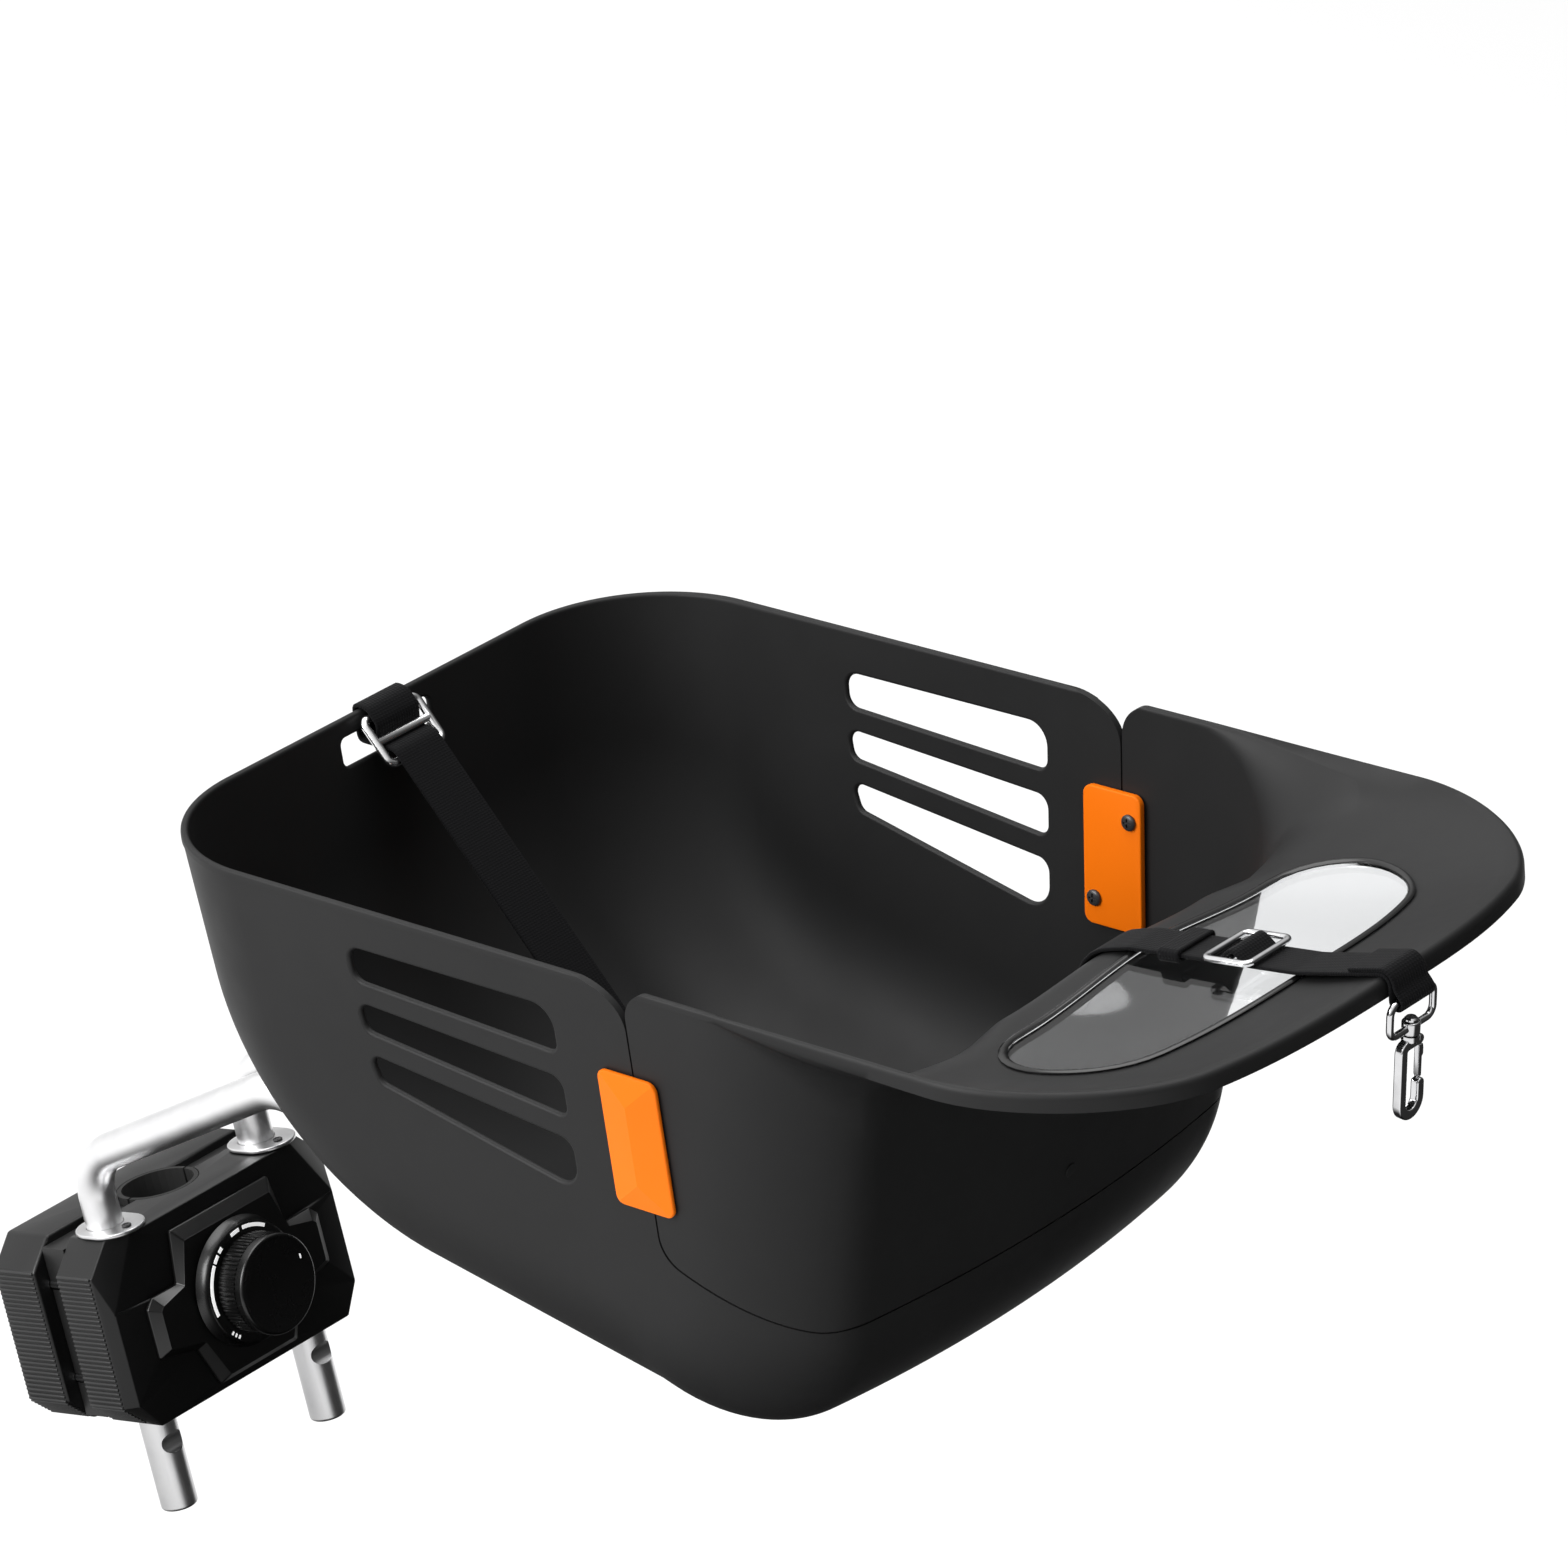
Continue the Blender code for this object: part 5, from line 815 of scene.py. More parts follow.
for side, name in ((1, "left"), (-1, "right")):
    clip_spot = (clip_x, side * (tub_half_width - tan(side_lean) * clip_depth), -clip_depth)
    out = Vector((0, side * cos(side_lean), -sin(side_lean)))
    clip_at = basket_turn @ frame_at(clip_spot, Vector((-side, 0, 0)), out)
    finished("side_clip_" + name, clip_roof.copy(), clip_orange, "basket",
             clip_at @ at(0, 0, clearance), ["clip_" + name], 12)
    finished("clip_plate_" + name, keeper_plate.copy(), clip_orange, "basket",
             clip_at, ["clip_keeper_" + name], 30)
    screw_step = (2 * clip_screw_x, 2 * clip_screw_y, 0.0)
    screw = cross_head(0.0034, 0.0016, 0.0017, 0.0066)
    screws = repeated(screw, row_tree, Copies=2, Step=screw_step, Finish=screw_dark)
    screws_at = clip_at @ at(-clip_screw_x, clip_screw_y, keeper_back - clearance)
    finished("clip_screws_" + name, screws, screw_dark, "basket",
             screws_at @ Matrix.Rotation(pi, 4, "X"),
             ["clip_screw_%s_1" % name, "clip_screw_%s_2" % name], 30)

# Support tubes: 16 mm tube, bent twice, in satin-polished metal. The legs slide in
# the bracket and the long ends run under the basket's floor, closed by black caps.
block_half_width = 0.0705
bracket_turn = Matrix.Rotation(radians(-16.9), 4, "Y")
forward_turn = Matrix.Rotation(pi / 2, 4, "Y")
sideways_turn = Matrix.Rotation(pi / 2, 4, "X")
leg_radius = 0.008
leg_bore = leg_radius + clearance
leg_y = block_half_width - 0.0240
leg_f = 0.0156
leg_bottom = 0.086
leg_corner_height = 0.0739
leg_bend = 0.024
arm_bend = 0.032
arm_rise = radians(34.9)
foot_round = 0.0015
notch_radius = 0.0055
notch_height = -0.0555
saddle_web = 0.003
tube_drop = saddle_web + leg_bore
tube_end = 0.250


def brushed_metal(name, dark, light, roughness, scale):
    """Polished metal: faint streaks and finger marks in its gloss."""
    look, tree, shader = principled(name, Metallic=1.0)
    streak = node(tree, "ShaderNodeTexNoise", Scale=scale, Detail=5.0)
    wire(tree, (node(tree, "ShaderNodeTexCoord"), "Object", streak, "Vector"))
    tinted(tree, shader, streak, dark, light, 0.3, 0.7)
    dulled(tree, shader, streak, To_Min=roughness * 0.8, To_Max=roughness * 1.25)
    embossed(tree, shader, streak, 0.15, 0.00002)
    return look


def pin(radius, low, high, sides=48):
    """A round pin about Z."""
    return turned([(0, low), (radius, low), (radius, high), (0, high)], sides)


def placed(mesh, place):
    mesh.transform(place)
    return mesh


def floor_run(x):
    """Where a distance forward along the rim falls along the floor."""
    return (x - depth_at) / cos(floor_lean)


tube_silver = brushed_metal("tube_silver", (0.90, 0.90, 0.91), (0.97, 0.97, 0.97), 0.34, 90.0)
chrome = brushed_metal("chrome", (0.66, 0.66, 0.67), (0.78, 0.78, 0.79), 0.09, 140.0)
floor_world = basket_turn @ at(depth_at, 0, -tub_depth) @ Matrix.Rotation(floor_lean, 4, "Y")
leg_foot = bracket_turn @ Vector((leg_f, 0, -leg_bottom))
leg_corner = bracket_turn @ Vector((leg_f, 0, leg_corner_height))
line_heading = (floor_world.to_3x3() @ Vector((1, 0, 0))).normalized()
arm_heading = Vector((cos(arm_rise), 0, sin(arm_rise)))
to_line = floor_world @ Vector((0, 0, -tube_drop)) - leg_corner
arm_length = to_line.cross(line_heading).y / arm_heading.cross(line_heading).y
arm_corner = leg_corner + arm_heading * arm_length
arm_end = floor_world @ Vector((floor_run(tube_end), 0, -tube_drop))
tube_path = rounded([leg_foot, leg_corner, arm_corner, arm_end], (0, leg_bend, arm_bend, 0), 22)
up_leg = (leg_corner - leg_foot).normalized()
foot_turns = (0, 0.4, 0.8, 1.2, pi / 2)
foot_path = [leg_foot + up_leg * (foot_round * (1 - cos(turn))) for turn in foot_turns]
tube_radii = [leg_radius - foot_round * (1 - sin(turn)) for turn in foot_turns]
tube_radii += [leg_radius] * (len(tube_path) - 1)
tube_solid = rod(foot_path + tube_path[1:], tube_radii, 64)
notch_at = bracket_turn @ at(leg_f + leg_radius + 0.0029, 0, notch_height) @ sideways_turn
tube_solid = carved(tube_solid, [placed(pin(notch_radius, -0.02, 0.02), notch_at)])
cap_edge = [(0, clearance), (leg_radius, clearance), (leg_radius, 0.0043), (0, 0.0043)]
tube_cap = turned(rounded(cap_edge, [0, 0.0003, 0.0014, 0], 5))
end_cap_black = moulded_plastic("end_cap_black", (0.006, 0.006, 0.006), (0.012, 0.012, 0.012), 0.40)
for side, name in ((1, "left"), (-1, "right")):
    finished("bent_tube_" + name, tube_solid.copy(), tube_silver, "basket",
             at(0, side * leg_y, 0), ["support_tube_" + name], 35)
    cap_at = floor_world @ at(floor_run(tube_end), side * leg_y, -tube_drop) @ forward_turn
    finished("tube_plug_" + name, tube_cap.copy(), end_cap_black, "basket",
             cap_at, ["tube_cap_" + name], 35)

# Saddles: two black moulded bars under the floor that the tubes pass through. Four
# bolts with wide low heads come down through the floor into nuts beneath them.
bracket_black = moulded_plastic(
    "bracket_black", (0.0020, 0.0020, 0.0021), (0.0030, 0.0030, 0.0031), 0.34, 800.0, 0.00002, 0.45
)
saddle_half_long = 0.012
saddle_height = 2 * (leg_radius + saddle_web)
saddle_half_width = leg_y + leg_radius + 0.0075
saddle_bolt_y = leg_y * 0.516
bolt_head_radius = 0.0055
bolt_shank = 0.0025
nut_top = -saddle_height - 0.0039
nut_foot = nut_top - 0.0040
head_edge = [(0, 0.0025), (bolt_head_radius, 0.0025), (bolt_head_radius, 0.0), (bolt_shank, 0.0)]
bolt_profile = rounded(head_edge, [0, 0.0012, 0.0003, 0])
bolt_profile += [(bolt_shank, nut_top), (bolt_head_radius, nut_top), (bolt_head_radius, nut_foot + 0.0007)]
bolt_profile += [(bolt_head_radius - 0.0006, nut_foot), (0, nut_foot)]
hexagon = [(0.0024 * cos(tau * side / 6), 0.0024 * sin(tau * side / 6)) for side in range(6)]
floor_bolt = carved(turned(bolt_profile, 40), [prism(hexagon, 0.0008, 0.01)], solver="EXACT")
for name, middle in (("rear", 0.135), ("front", 0.225)):
    x = floor_run(middle)
    outline = rounded(oblong(saddle_half_long, saddle_half_width, (x, 0)), 0.004, 5)
    bar = prism(outline, -clearance - saddle_height, -clearance)
    bores = []
    for side in (1, -1):
        bores.append(placed(pin(leg_bore, -0.03, 0.03), at(x, side * leg_y, -tube_drop) @ forward_turn))
        bores.append(placed(pin(bolt_shank + clearance, -0.05, 0.05, 32), at(x, side * saddle_bolt_y, 0)))
    bar = carved(softened(bar, 0.0024, 4), bores)
    finished("saddle_bar_" + name, bar, bracket_black, "basket",
             floor_world, ["saddle_" + name], 35)
    bolts = repeated(floor_bolt.copy(), row_tree, Copies=2, Step=(0.0, 2 * saddle_bolt_y, 0.0), Finish=chrome)
    finished("floor_bolts_" + name, bolts, chrome, "basket",
             floor_world @ at(x, -saddle_bolt_y, tub_wall + clearance),
             ["saddle_bolt_%s_left" % name, "saddle_bolt_%s_right" % name], 30)

# Bracket block: a faceted front housing and a rear jaw, glass-filled black plastic
# with finely ribbed ends, drawn together round a lined bore by four socket bolts.
wide, tall = block_half_width, 0.0424
chamfer = 0.0125
housing_back = 0.0045
block_front = 0.0337
facet_foot = block_front - 0.0075
jaw_back = -0.0350
jaw_front = -0.0094
bolt_y = wide - 0.0093
bolt_z = 0.0215
seat_tube_bore = 0.0183
bar_back = leg_f + leg_bore
bar_half = wide - 0.0190
bar_half_height = 0.0075
pocket_spare = 0.0006
pocket_front = 0.0312
rib_pitch = 0.0021
rib_count = 29
corner_rib_count = 7
block_section = [
    (-wide, -tall + chamfer), (-wide + chamfer, -tall), (wide - chamfer, -tall), (wide, -tall + chamfer),
    (wide, tall - chamfer), (wide - chamfer, tall), (-wide + chamfer, tall), (-wide, tall - chamfer),
]
face_half = wide - 0.0035
face_corners = [
    (block_front - 0.0016, 0.0580, -tall), (block_front - 0.0022, face_half, -tall + 0.0125),
    (block_front - 0.0022, face_half, tall - 0.030), (block_front - 0.0008, 0.0490, tall),
]
seat_corners = [
    (0.0225, -0.0370), (0.0305, -0.0178), (0.0515, -0.0132), (0.0515, 0.0078),
    (0.0478, 0.0117), (0.0328, 0.0117), (0.0292, 0.0345),
]


def faceted_front():
    """The housing: its face falls away in flat facets from the cover to the edges."""
    points = [(f, y, u) for f in (housing_back, facet_foot) for y, u in block_section]
    edge = [face_corners[1], face_corners[0], face_corners[0], face_corners[1]]
    edge += [face_corners[2], face_corners[3], face_corners[3], face_corners[2]]
    points += [(f, -y if index in (0, 1, 6, 7) else y, u) for index, (f, y, u) in enumerate(edge)]
    points += [(block_front, side * y, u) for side in (1, -1) for y, u in seat_corners]
    faces = [list(range(8))]
    for ring in (0, 8):
        faces += [[ring + i, ring + (i + 1) % 8, ring + 8 + (i + 1) % 8, ring + 8 + i] for i in range(8)]
    for seat, (foot, low, high, head) in ((24, (18, 19, 20, 21)), (31, (17, 16, 23, 22))):
        for face in (
            (0, foot, 1), (1, foot, low), (1, low, 2), (2, low, high), (2, high, 3),
            (3, high, 4), (4, high, 5), (5, high, head), (5, head, 6),
        ):
            faces.append([seat + spot if spot < 7 else spot for spot in face])
    faces += [[24, 31, 17, 18], [30, 37, 22, 21], [*range(24, 31), *range(37, 30, -1)]]
    return mesh_from(points, faces)


def end_ribs(rear, front, edge):
    """Fine ribs on both ends and round their lower corners, ending short of the edges."""
    rib = softened(rod([(rear + edge, 0, 0), (front - 0.0012, 0, 0)], 0.00085, 10), 0.0004, 2)
    rows = repeated(rib, row_tree, Copies=rib_count, Step=(0.0, 0.0, rib_pitch), Finish=rib_grey)
    low = -rib_pitch * (rib_count - 1) / 2
    slant = rib_pitch / sqrt(2)
    corner = repeated(rib, row_tree, Copies=corner_rib_count, Step=(0.0, -slant, -slant), Finish=rib_grey)
    one_end = joined([rows, placed(corner, at(0, -slant + 0.0008, -slant))])
    one_end.transform(at(0, wide - 0.0002, low))
    mirrored = placed(one_end.copy(), Matrix.Diagonal((1, -1, 1, 1)))
    mirrored.flip_normals()
    return joined([one_end, mirrored])


bolt_bore = [(0, -0.06), (0.0048, -0.06), (0.0048, -0.0297), (0.0028, -0.0297), (0.0028, 0.0168), (0, 0.0168)]
bolt_bores = []
for side in (1, -1):
    for height in (bolt_z, -bolt_z):
        bolt_bores.append(placed(turned(bolt_bore, 32), at(0, side * bolt_y, height) @ forward_turn))
tube_bore = pin(seat_tube_bore, -0.07, 0.07, 96)
leg_bores = [placed(pin(leg_bore, -0.07, 0.07), at(leg_f, side * leg_y, 0)) for side in (1, -1)]
pocket_outline = oblong(bar_half + pocket_spare, bar_half_height + pocket_spare)
pocket = prism(pocket_outline, bar_back - clearance, pocket_front, "YZX")
pin_bore = placed(pin(0.0053, 0.030, 0.07, 32), forward_turn)
housing_block = softened(faceted_front(), 0.0006, 3, 5)
housing_block = carved(housing_block, [tube_bore, *leg_bores, *bolt_bores, pocket, pin_bore])
jaw_block = softened(prism(block_section, jaw_back, jaw_front, "YZX"), 0.0014, 4)
jaw_block = carved(jaw_block, [tube_bore, *bolt_bores])
rib_grey = moulded_plastic(
    "rib_grey", (0.0150, 0.0150, 0.0152), (0.0190, 0.0190, 0.0193), 0.42, 800.0, 0.00002, 0.4
)
finished("bracket_housing", housing_block, bracket_black, "bracket",
         bracket_turn, ["front_housing"], 12)
finished("housing_ribs", end_ribs(housing_back, facet_foot, 0.0003), rib_grey, "bracket",
         bracket_turn)
finished("bracket_jaw", jaw_block, bracket_black, "bracket",
         bracket_turn, ["rear_jaw"], 25)
finished("jaw_ribs", end_ribs(jaw_back, jaw_front, 0.0012), rib_grey, "bracket",
         bracket_turn)
liner_black = moulded_plastic(
    "liner_black", (0.010, 0.010, 0.010), (0.022, 0.022, 0.021), 0.72, 300.0, 0.00008, 0.3
)
for name, look in (
    ("mid_plate_left", end_cap_black), ("mid_plate_right", end_cap_black),
    ("liner_front", liner_black), ("liner_rear", liner_black),
):
    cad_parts[name].material_slots[0].material = look
jaw_screw_edge = [(0, 0.0), (0.0045, 0.0), (0.0045, 0.005), (0.0025, 0.005)]
jaw_screw_profile = rounded(jaw_screw_edge, [0, 0.0005, 0.0002, 0], 4) + [(0.0025, 0.0511), (0, 0.0511)]
jaw_screw = carved(turned(jaw_screw_profile, 40), [prism(hexagon, -0.01, 0.0028)], solver="EXACT")
jaw_screw.transform(forward_turn)
for side, name in ((1, "left"), (-1, "right")):
    screws = repeated(jaw_screw.copy(), row_tree, Copies=2, Step=(0.0, 0.0, 2 * bolt_z), Finish=chrome)
    finished("jaw_bolts_" + name, screws, chrome, "bracket",
             bracket_turn @ at(jaw_back, side * bolt_y, -bolt_z),
             ["jaw_bolt_upper_" + name, "jaw_bolt_lower_" + name], 30)

# Clamp bar and spindle: a plated steel bar lies in a pocket of the housing across
# both legs. Turning the knob drives the spindle against it and locks the legs.
clamp_plate = softened(prism(oblong(bar_half, bar_half_height), bar_back, bar_back + 0.005, "YZX"), 0.0005)
finished("clamp_plate", clamp_plate, chrome, "clamp_bar", bracket_turn, ["clamp_bar"], 30)
knob_turn = bracket_turn @ forward_turn
spindle = turned([(0, 0.0307), (0.0044, 0.0307), (0.005, 0.0313), (0.005, 0.0585), (0, 0.0585)], 32)
finished("spindle_pin", spindle, chrome, "knob", knob_turn, ["knob_spindle"], 30)

# Cover plate: a faceted escutcheon on the housing's front, moulded in glossy black
# with broad bevels, widest beside the knob and narrowing upward to a trapezium.
cover_black = moulded_plastic(
    "cover_black", (0.0010, 0.0010, 0.0010), (0.0018, 0.0018, 0.0018), 0.30, 900.0, 0.00001, 0.7
)
cover_back = block_front + clearance
cover_face = cover_back + 0.0045
cover_edge = [
    (0.0235, -0.0380), (0.0315, -0.0185), (0.0525, -0.0140), (0.0525, 0.0085),
    (0.0485, 0.0125), (0.0335, 0.0125), (0.0300, 0.0355),
]
cover_flat = [
    (0.0195, -0.0350), (0.0285, -0.0160), (0.0478, -0.0112), (0.0478, 0.0062),
    (0.0460, 0.0080), (0.0322, 0.0112), (0.0262, 0.0297),
]


def both_halves(half):
    return half + [(-across, up) for across, up in half[::-1]]


outer_edge = rounded(both_halves(cover_edge), 0.0012, 4)
inner_edge = rounded(both_halves(cover_flat), 0.0010, 4)
cover_loops = []
for forward, share in (
    (cover_back, 0.0), (cover_back + 0.0010, 0.0), (cover_back + 0.0013, 0.03),
    (cover_back + 0.0016, 0.09), (cover_face - 0.0003, 0.94), (cover_face, 1.0),
):
    cover_loops.append([(forward, *one.lerp(other, share)) for one, other in zip(outer_edge, inner_edge)])
escutcheon = carved(skin(cover_loops), [pin_bore.copy()])
finished("escutcheon", escutcheon, cover_black, "bracket", bracket_turn, ["cover_plate"], 18)

# Knob, its flared collar and index marks: glossy black mouldings. Fine grooves give
# grip near the knob's foot, and white dashes on the collar show how far it is turned.
knob_black = moulded_plastic(
    "knob_black", (0.0012, 0.0012, 0.0012), (0.0022, 0.0022, 0.0022), 0.26, 600.0, 0.00001, 0.6
)
mark_white_glowing = moulded_plastic("mark_white_glowing", (0.84, 0.84, 0.84), (0.92, 0.92, 0.92), 0.45, 500.0, 0.00001)
# Painted highlight: the white marks glow a little, as if lit.
mark_glow_shader = mark_white_glowing.node_tree.nodes["Principled BSDF"]
mark_glow_shader.inputs["Emission Color"].default_value = white
mark_glow_shader.inputs["Emission Strength"].default_value = 0.45
knob_hole = 0.0053
collar_back = cover_face + clearance
collar_top = 0.0448
ledge = 0.0446
mark_inner = 0.0236
mark_outer = 0.0252
mark_sweeps = ((-129, -76), (-140, -131), (-149, -143), (-178, -166), (-214, -183))
knob_radius = 0.0211
ridge_radius = 0.00068
ridge_count = 64
knob_face = 0.0601
collar_profile = [(knob_hole, collar_back)]
for share in (step / 12 for step in range(13)):
    collar_profile.append((0.0262 + 0.0023 * (1 - share) ** 2.2, collar_back + 0.0004 + 0.0052 * share))
collar_profile += [(0.0259, ledge), (0.0253, collar_top), (knob_hole, collar_top)]
collar = turned(collar_profile, 96)
finished("flared_collar", collar, knob_black, "bracket", knob_turn, ["knob_collar"], 30)

turn_tree, given, line, spread = copies("turned_copies", "Turn", "Float")
place = node(turn_tree, "GeometryNodeInputIndex")
angle = node(turn_tree, "ShaderNodeMath", operation="MULTIPLY")
heading = node(turn_tree, "FunctionNodeAxisAngleToRotation", Axis=(0, 0, 1))
wire(
    turn_tree, (place, "Index", angle, 0), (given, "Turn", angle, 1),
    (angle, 0, heading, "Angle"), (heading, "Rotation", spread, "Rotation"),
)


def dash(start, end):
    """A raised mark on the collar's ledge, between two angles in degrees."""
    steps = max(int(abs(end - start) / 3), 2)
    turns = [radians(between(start, end, step / steps)) for step in range(steps + 1)]
    outline = [(mark_inner * cos(turn), mark_inner * sin(turn)) for turn in turns]
    outline += [(mark_outer * cos(turn), mark_outer * sin(turn)) for turn in turns[::-1]]
    return prism(outline, ledge, ledge + 0.0004)


tiny_dashes = repeated(dash(-50, -48), turn_tree, Copies=3, Turn=radians(5), Finish=mark_white_glowing)
marks = joined([*[dash(*sweep) for sweep in mark_sweeps], tiny_dashes])
finished("index_marks", marks, mark_white_glowing, "bracket", knob_turn, ["index_ring"], 30)
knob_profile = [(0, 0.0588), (knob_hole, 0.0588), (knob_hole, 0.0453), (0.0206, 0.0453)]
knob_profile += [(knob_radius, 0.0457), (knob_radius, 0.0556), (0.0214, 0.0559), (0.0218, 0.0562)]
for turn in (pi / 16 * step for step in range(9)):
    knob_profile.append((0.0204 + 0.0014 * cos(turn), 0.0591 + 0.0014 * sin(turn)))
knob_profile += [(0.0198, 0.0603), (0.0190, knob_face), (0, knob_face)]
grip_ridge = rod([(knob_radius, 0, 0.0459), (knob_radius, 0, 0.0553)], ridge_radius, 8)
ridges = repeated(grip_ridge, turn_tree, Copies=ridge_count, Turn=tau / ridge_count, Finish=knob_black)
lock = joined([turned(knob_profile, 128), ridges])
finished("locking_knob", lock, knob_black, "knob", knob_turn, ["lock_knob"], 30)
knob_mark = prism(rounded(oblong(0.0011, 0.0004), 0.0004, 4), knob_face - 0.0002, knob_face + 0.0001)
finished("knob_mark", knob_mark, mark_white_glowing, "knob", knob_turn @ at(-0.0063, 0.0155, 0), (), 30)

# Leg flanges: pressed oval plates, plated bright, round each leg on the housing's
# top, each held by one small dark screw ahead of the leg.
flange_silver = brushed_metal("flange_silver", (0.74, 0.74, 0.75), (0.84, 0.84, 0.84), 0.30, 120.0)
flange_low = tall + clearance
flange_top = flange_low + 0.0018
flange_radius = 0.0130
flange_stretch = 0.0060
for side, name in ((1, "left"), (-1, "right")):
    outline = []
    for turn in (tau * step / 72 for step in range(72)):
        middle = leg_f + (flange_stretch if cos(turn) > 0 else 0.0)
        outline.append((middle + flange_radius * cos(turn), side * leg_y + flange_radius * sin(turn)))
    flange = softened(prism(outline, flange_low, flange_top), 0.0006)
    flange = carved(flange, [placed(pin(leg_bore, 0.03, 0.06, 64), at(leg_f, side * leg_y, 0))])
    finished("oval_flange_" + name, flange, flange_silver, "bracket",
             bracket_turn, ["leg_flange_" + name], 30)
    finished("oval_screw_" + name, cross_head(0.0021, 0.0010, 0.0009, 0.0002), screw_dark, "bracket",
             bracket_turn @ at(leg_f + 0.0135, side * leg_y, flange_top + clearance),
             ["flange_screw_" + name], 30)

# Rear strap: flat black polyester webbing that comes in through the rear slot, over
# the rim, under a slider's middle bar and down to a riveted plate on the floor.
rear_web_width = 0.025
web_thickness = 0.0016
web_gap = 0.0008
over = web_gap + web_thickness / 2
web_top = web_thickness / 2 + clearance
slider_wire = 0.0015
slider_lift = slider_wire + web_top
slider_half = 0.0075
rear_slider_run = 0.0135
plate_thickness = 0.002


def woven_black():
    """Black webbing: fine ribs across, small dips along, and a soft fibre sheen."""
    look, tree, shader = principled(
        "woven_black", Roughness=0.80, Sheen_Weight=0.04, Sheen_Roughness=0.5, Specular_IOR_Level=0.10
    )
    place = node(tree, "ShaderNodeUVMap")
    fuzz = node(tree, "ShaderNodeTexNoise", Scale=900.0, Detail=3.0)
    across = node(tree, "ShaderNodeTexWave", bands_direction="X", Scale=260.0, Distortion=0.4)
    along = node(tree, "ShaderNodeTexWave", bands_direction="Y", Scale=210.0, Distortion=0.3)
    weave = node(tree, "ShaderNodeMath", operation="MULTIPLY")
    wire(tree, *[(place, "UV", height, "Vector") for height in (fuzz, across, along)])
    wire(tree, (across, "Fac", weave, 0), (along, "Fac", weave, 1))
    tinted(tree, shader, fuzz, (0.0016, 0.0016, 0.0019), (0.0046, 0.0046, 0.0054))
    embossed(tree, shader, weave, 0.8, 0.00018)
    return look


webbing_black = woven_black()


def webbing(path, width, closed=False, step=0.0012):
    """Webbing along a path in X and Z, flat across Y, with its weave laid out in metres."""
    path = [tuple(spot) for spot in path]
    path = np.array(path + path[:1] if closed else path).T
    runs = run_lengths(*path)
    stations = np.linspace(0, runs[-1], int(runs[-1] / step) + 1)
    x, z = (np.interp(stations, runs, line) for line in path)
    if closed:
        x, z = x[:-1], z[:-1]
        step_x, step_z = np.roll(x, -1) - np.roll(x, 1), np.roll(z, -1) - np.roll(z, 1)
    else:
        for _ in range(2):
            for line in (x, z):
                line[1:-1] = (line[:-2] + 2 * line[1:-1] + line[2:]) / 4
        step_x, step_z = np.gradient(x), np.gradient(z)
    size = np.hypot(step_x, step_z)
    half_wide, half_thick = width / 2, web_thickness / 2
    corner = rounded(oblong(half_wide, half_thick), half_thick * 0.9, 4)
    inner = [-half_wide + width * part / 8 for part in range(1, 8)]
    ring = corner[:5] + [(y, -half_thick) for y in inner] + corner[5:15]
    ring += [(y, half_thick) for y in inner[::-1]] + corner[15:]
    loops = []
    for index in range(len(x)):
        up_x, up_z = -step_z[index] / size[index], step_x[index] / size[index]
        loops.append([(x[index] + up_x * lift, y, z[index] + up_z * lift) for y, lift in ring])
    mesh = skin(loops, closed)
    layer = mesh.uv_layers.new(name="UVMap")
    for loop in mesh.loops:
        row, spot = divmod(loop.vertex_index, len(ring))
        layer.data[loop.index].uv = (stations[row], ring[spot][0])
    return mesh


def above_floor(x):
    """Where webbing lies on the floor, a distance forward along the rim."""
    floor_top = tub_wall / cos(floor_lean) - tub_depth - tan(floor_lean) * (x - depth_at)
    return Vector((x, floor_top + over))


def arc(centre, radius, start, end, steps=12):
    """Points on an arc in X and Z, its angles in degrees."""
    turns = [radians(between(start, end, step / steps)) for step in range(steps + 1)]
    return [(centre[0] + radius * cos(turn), centre[1] + radius * sin(turn)) for turn in turns]


def upright(along):
    """The way that stands on another, in X and Z."""
    return Vector((-along.y, along.x))


def wave(start, end, run, rise):
    """From start to end, woven over or under a slider's middle bar at a run from the start."""
    along = (end - start).normalized()
    points = [start, start + along * (run - slider_half - 0.0011)]
    for share in (step / 12 - 1 for step in range(25)):
        lift = upright(along) * (rise * cos(pi / 2 * share) ** 2)
        points.append(start + along * (run + slider_half * share) + lift)
    return points + [start + along * (run + slider_half + 0.0011), end]


def strap_frame(spot, along, lift):
    """A frame whose X runs along a strap and whose Z stands on it, lifted off a spot."""
    up = upright(along)
    spot = spot + up * lift
    return basket_turn @ frame_at((spot.x, 0, spot.y), Vector((along.x, 0, along.y)), Vector((up.x, 0, up.y)))


def slider_frame(width, wire_radius, flat):
    """A rounded wire frame with a middle bar, its X along the strap."""
    half = width / 2 + 0.0032
    path = [(*spot, 0.0) for spot in rounded(oblong(0.0105, half), 0.0030, 8)]
    bar = placed(pin(wire_radius * 0.96, -half, half, 24), sideways_turn)
    made = carved(rod(path, wire_radius, 20, True, Vector((0, 0, 1))), [bar], "UNION")
    return placed(made, Matrix.Diagonal((1, 1, flat, 1)))


def strap_rivet(foot, foot_height):
    """A domed rivet from its plate's top down through strap and wall to its foot."""
    turns = [pi / 14 * step for step in range(8)]
    profile = [(0.0040 * sin(turn), 0.0004 + 0.0011 * cos(turn)) for turn in turns]
    depth = plate_thickness + web_thickness + web_gap + tub_wall + 2 * clearance
    low = -depth - foot_height
    profile += [(0.0018, clearance), (0.0018, -depth), (foot, -depth)]
    profile += [(foot - 0.0002, low + 0.0003), (0, low)]
    return placed(turned(profile, 36), at(0, 0, plate_thickness))


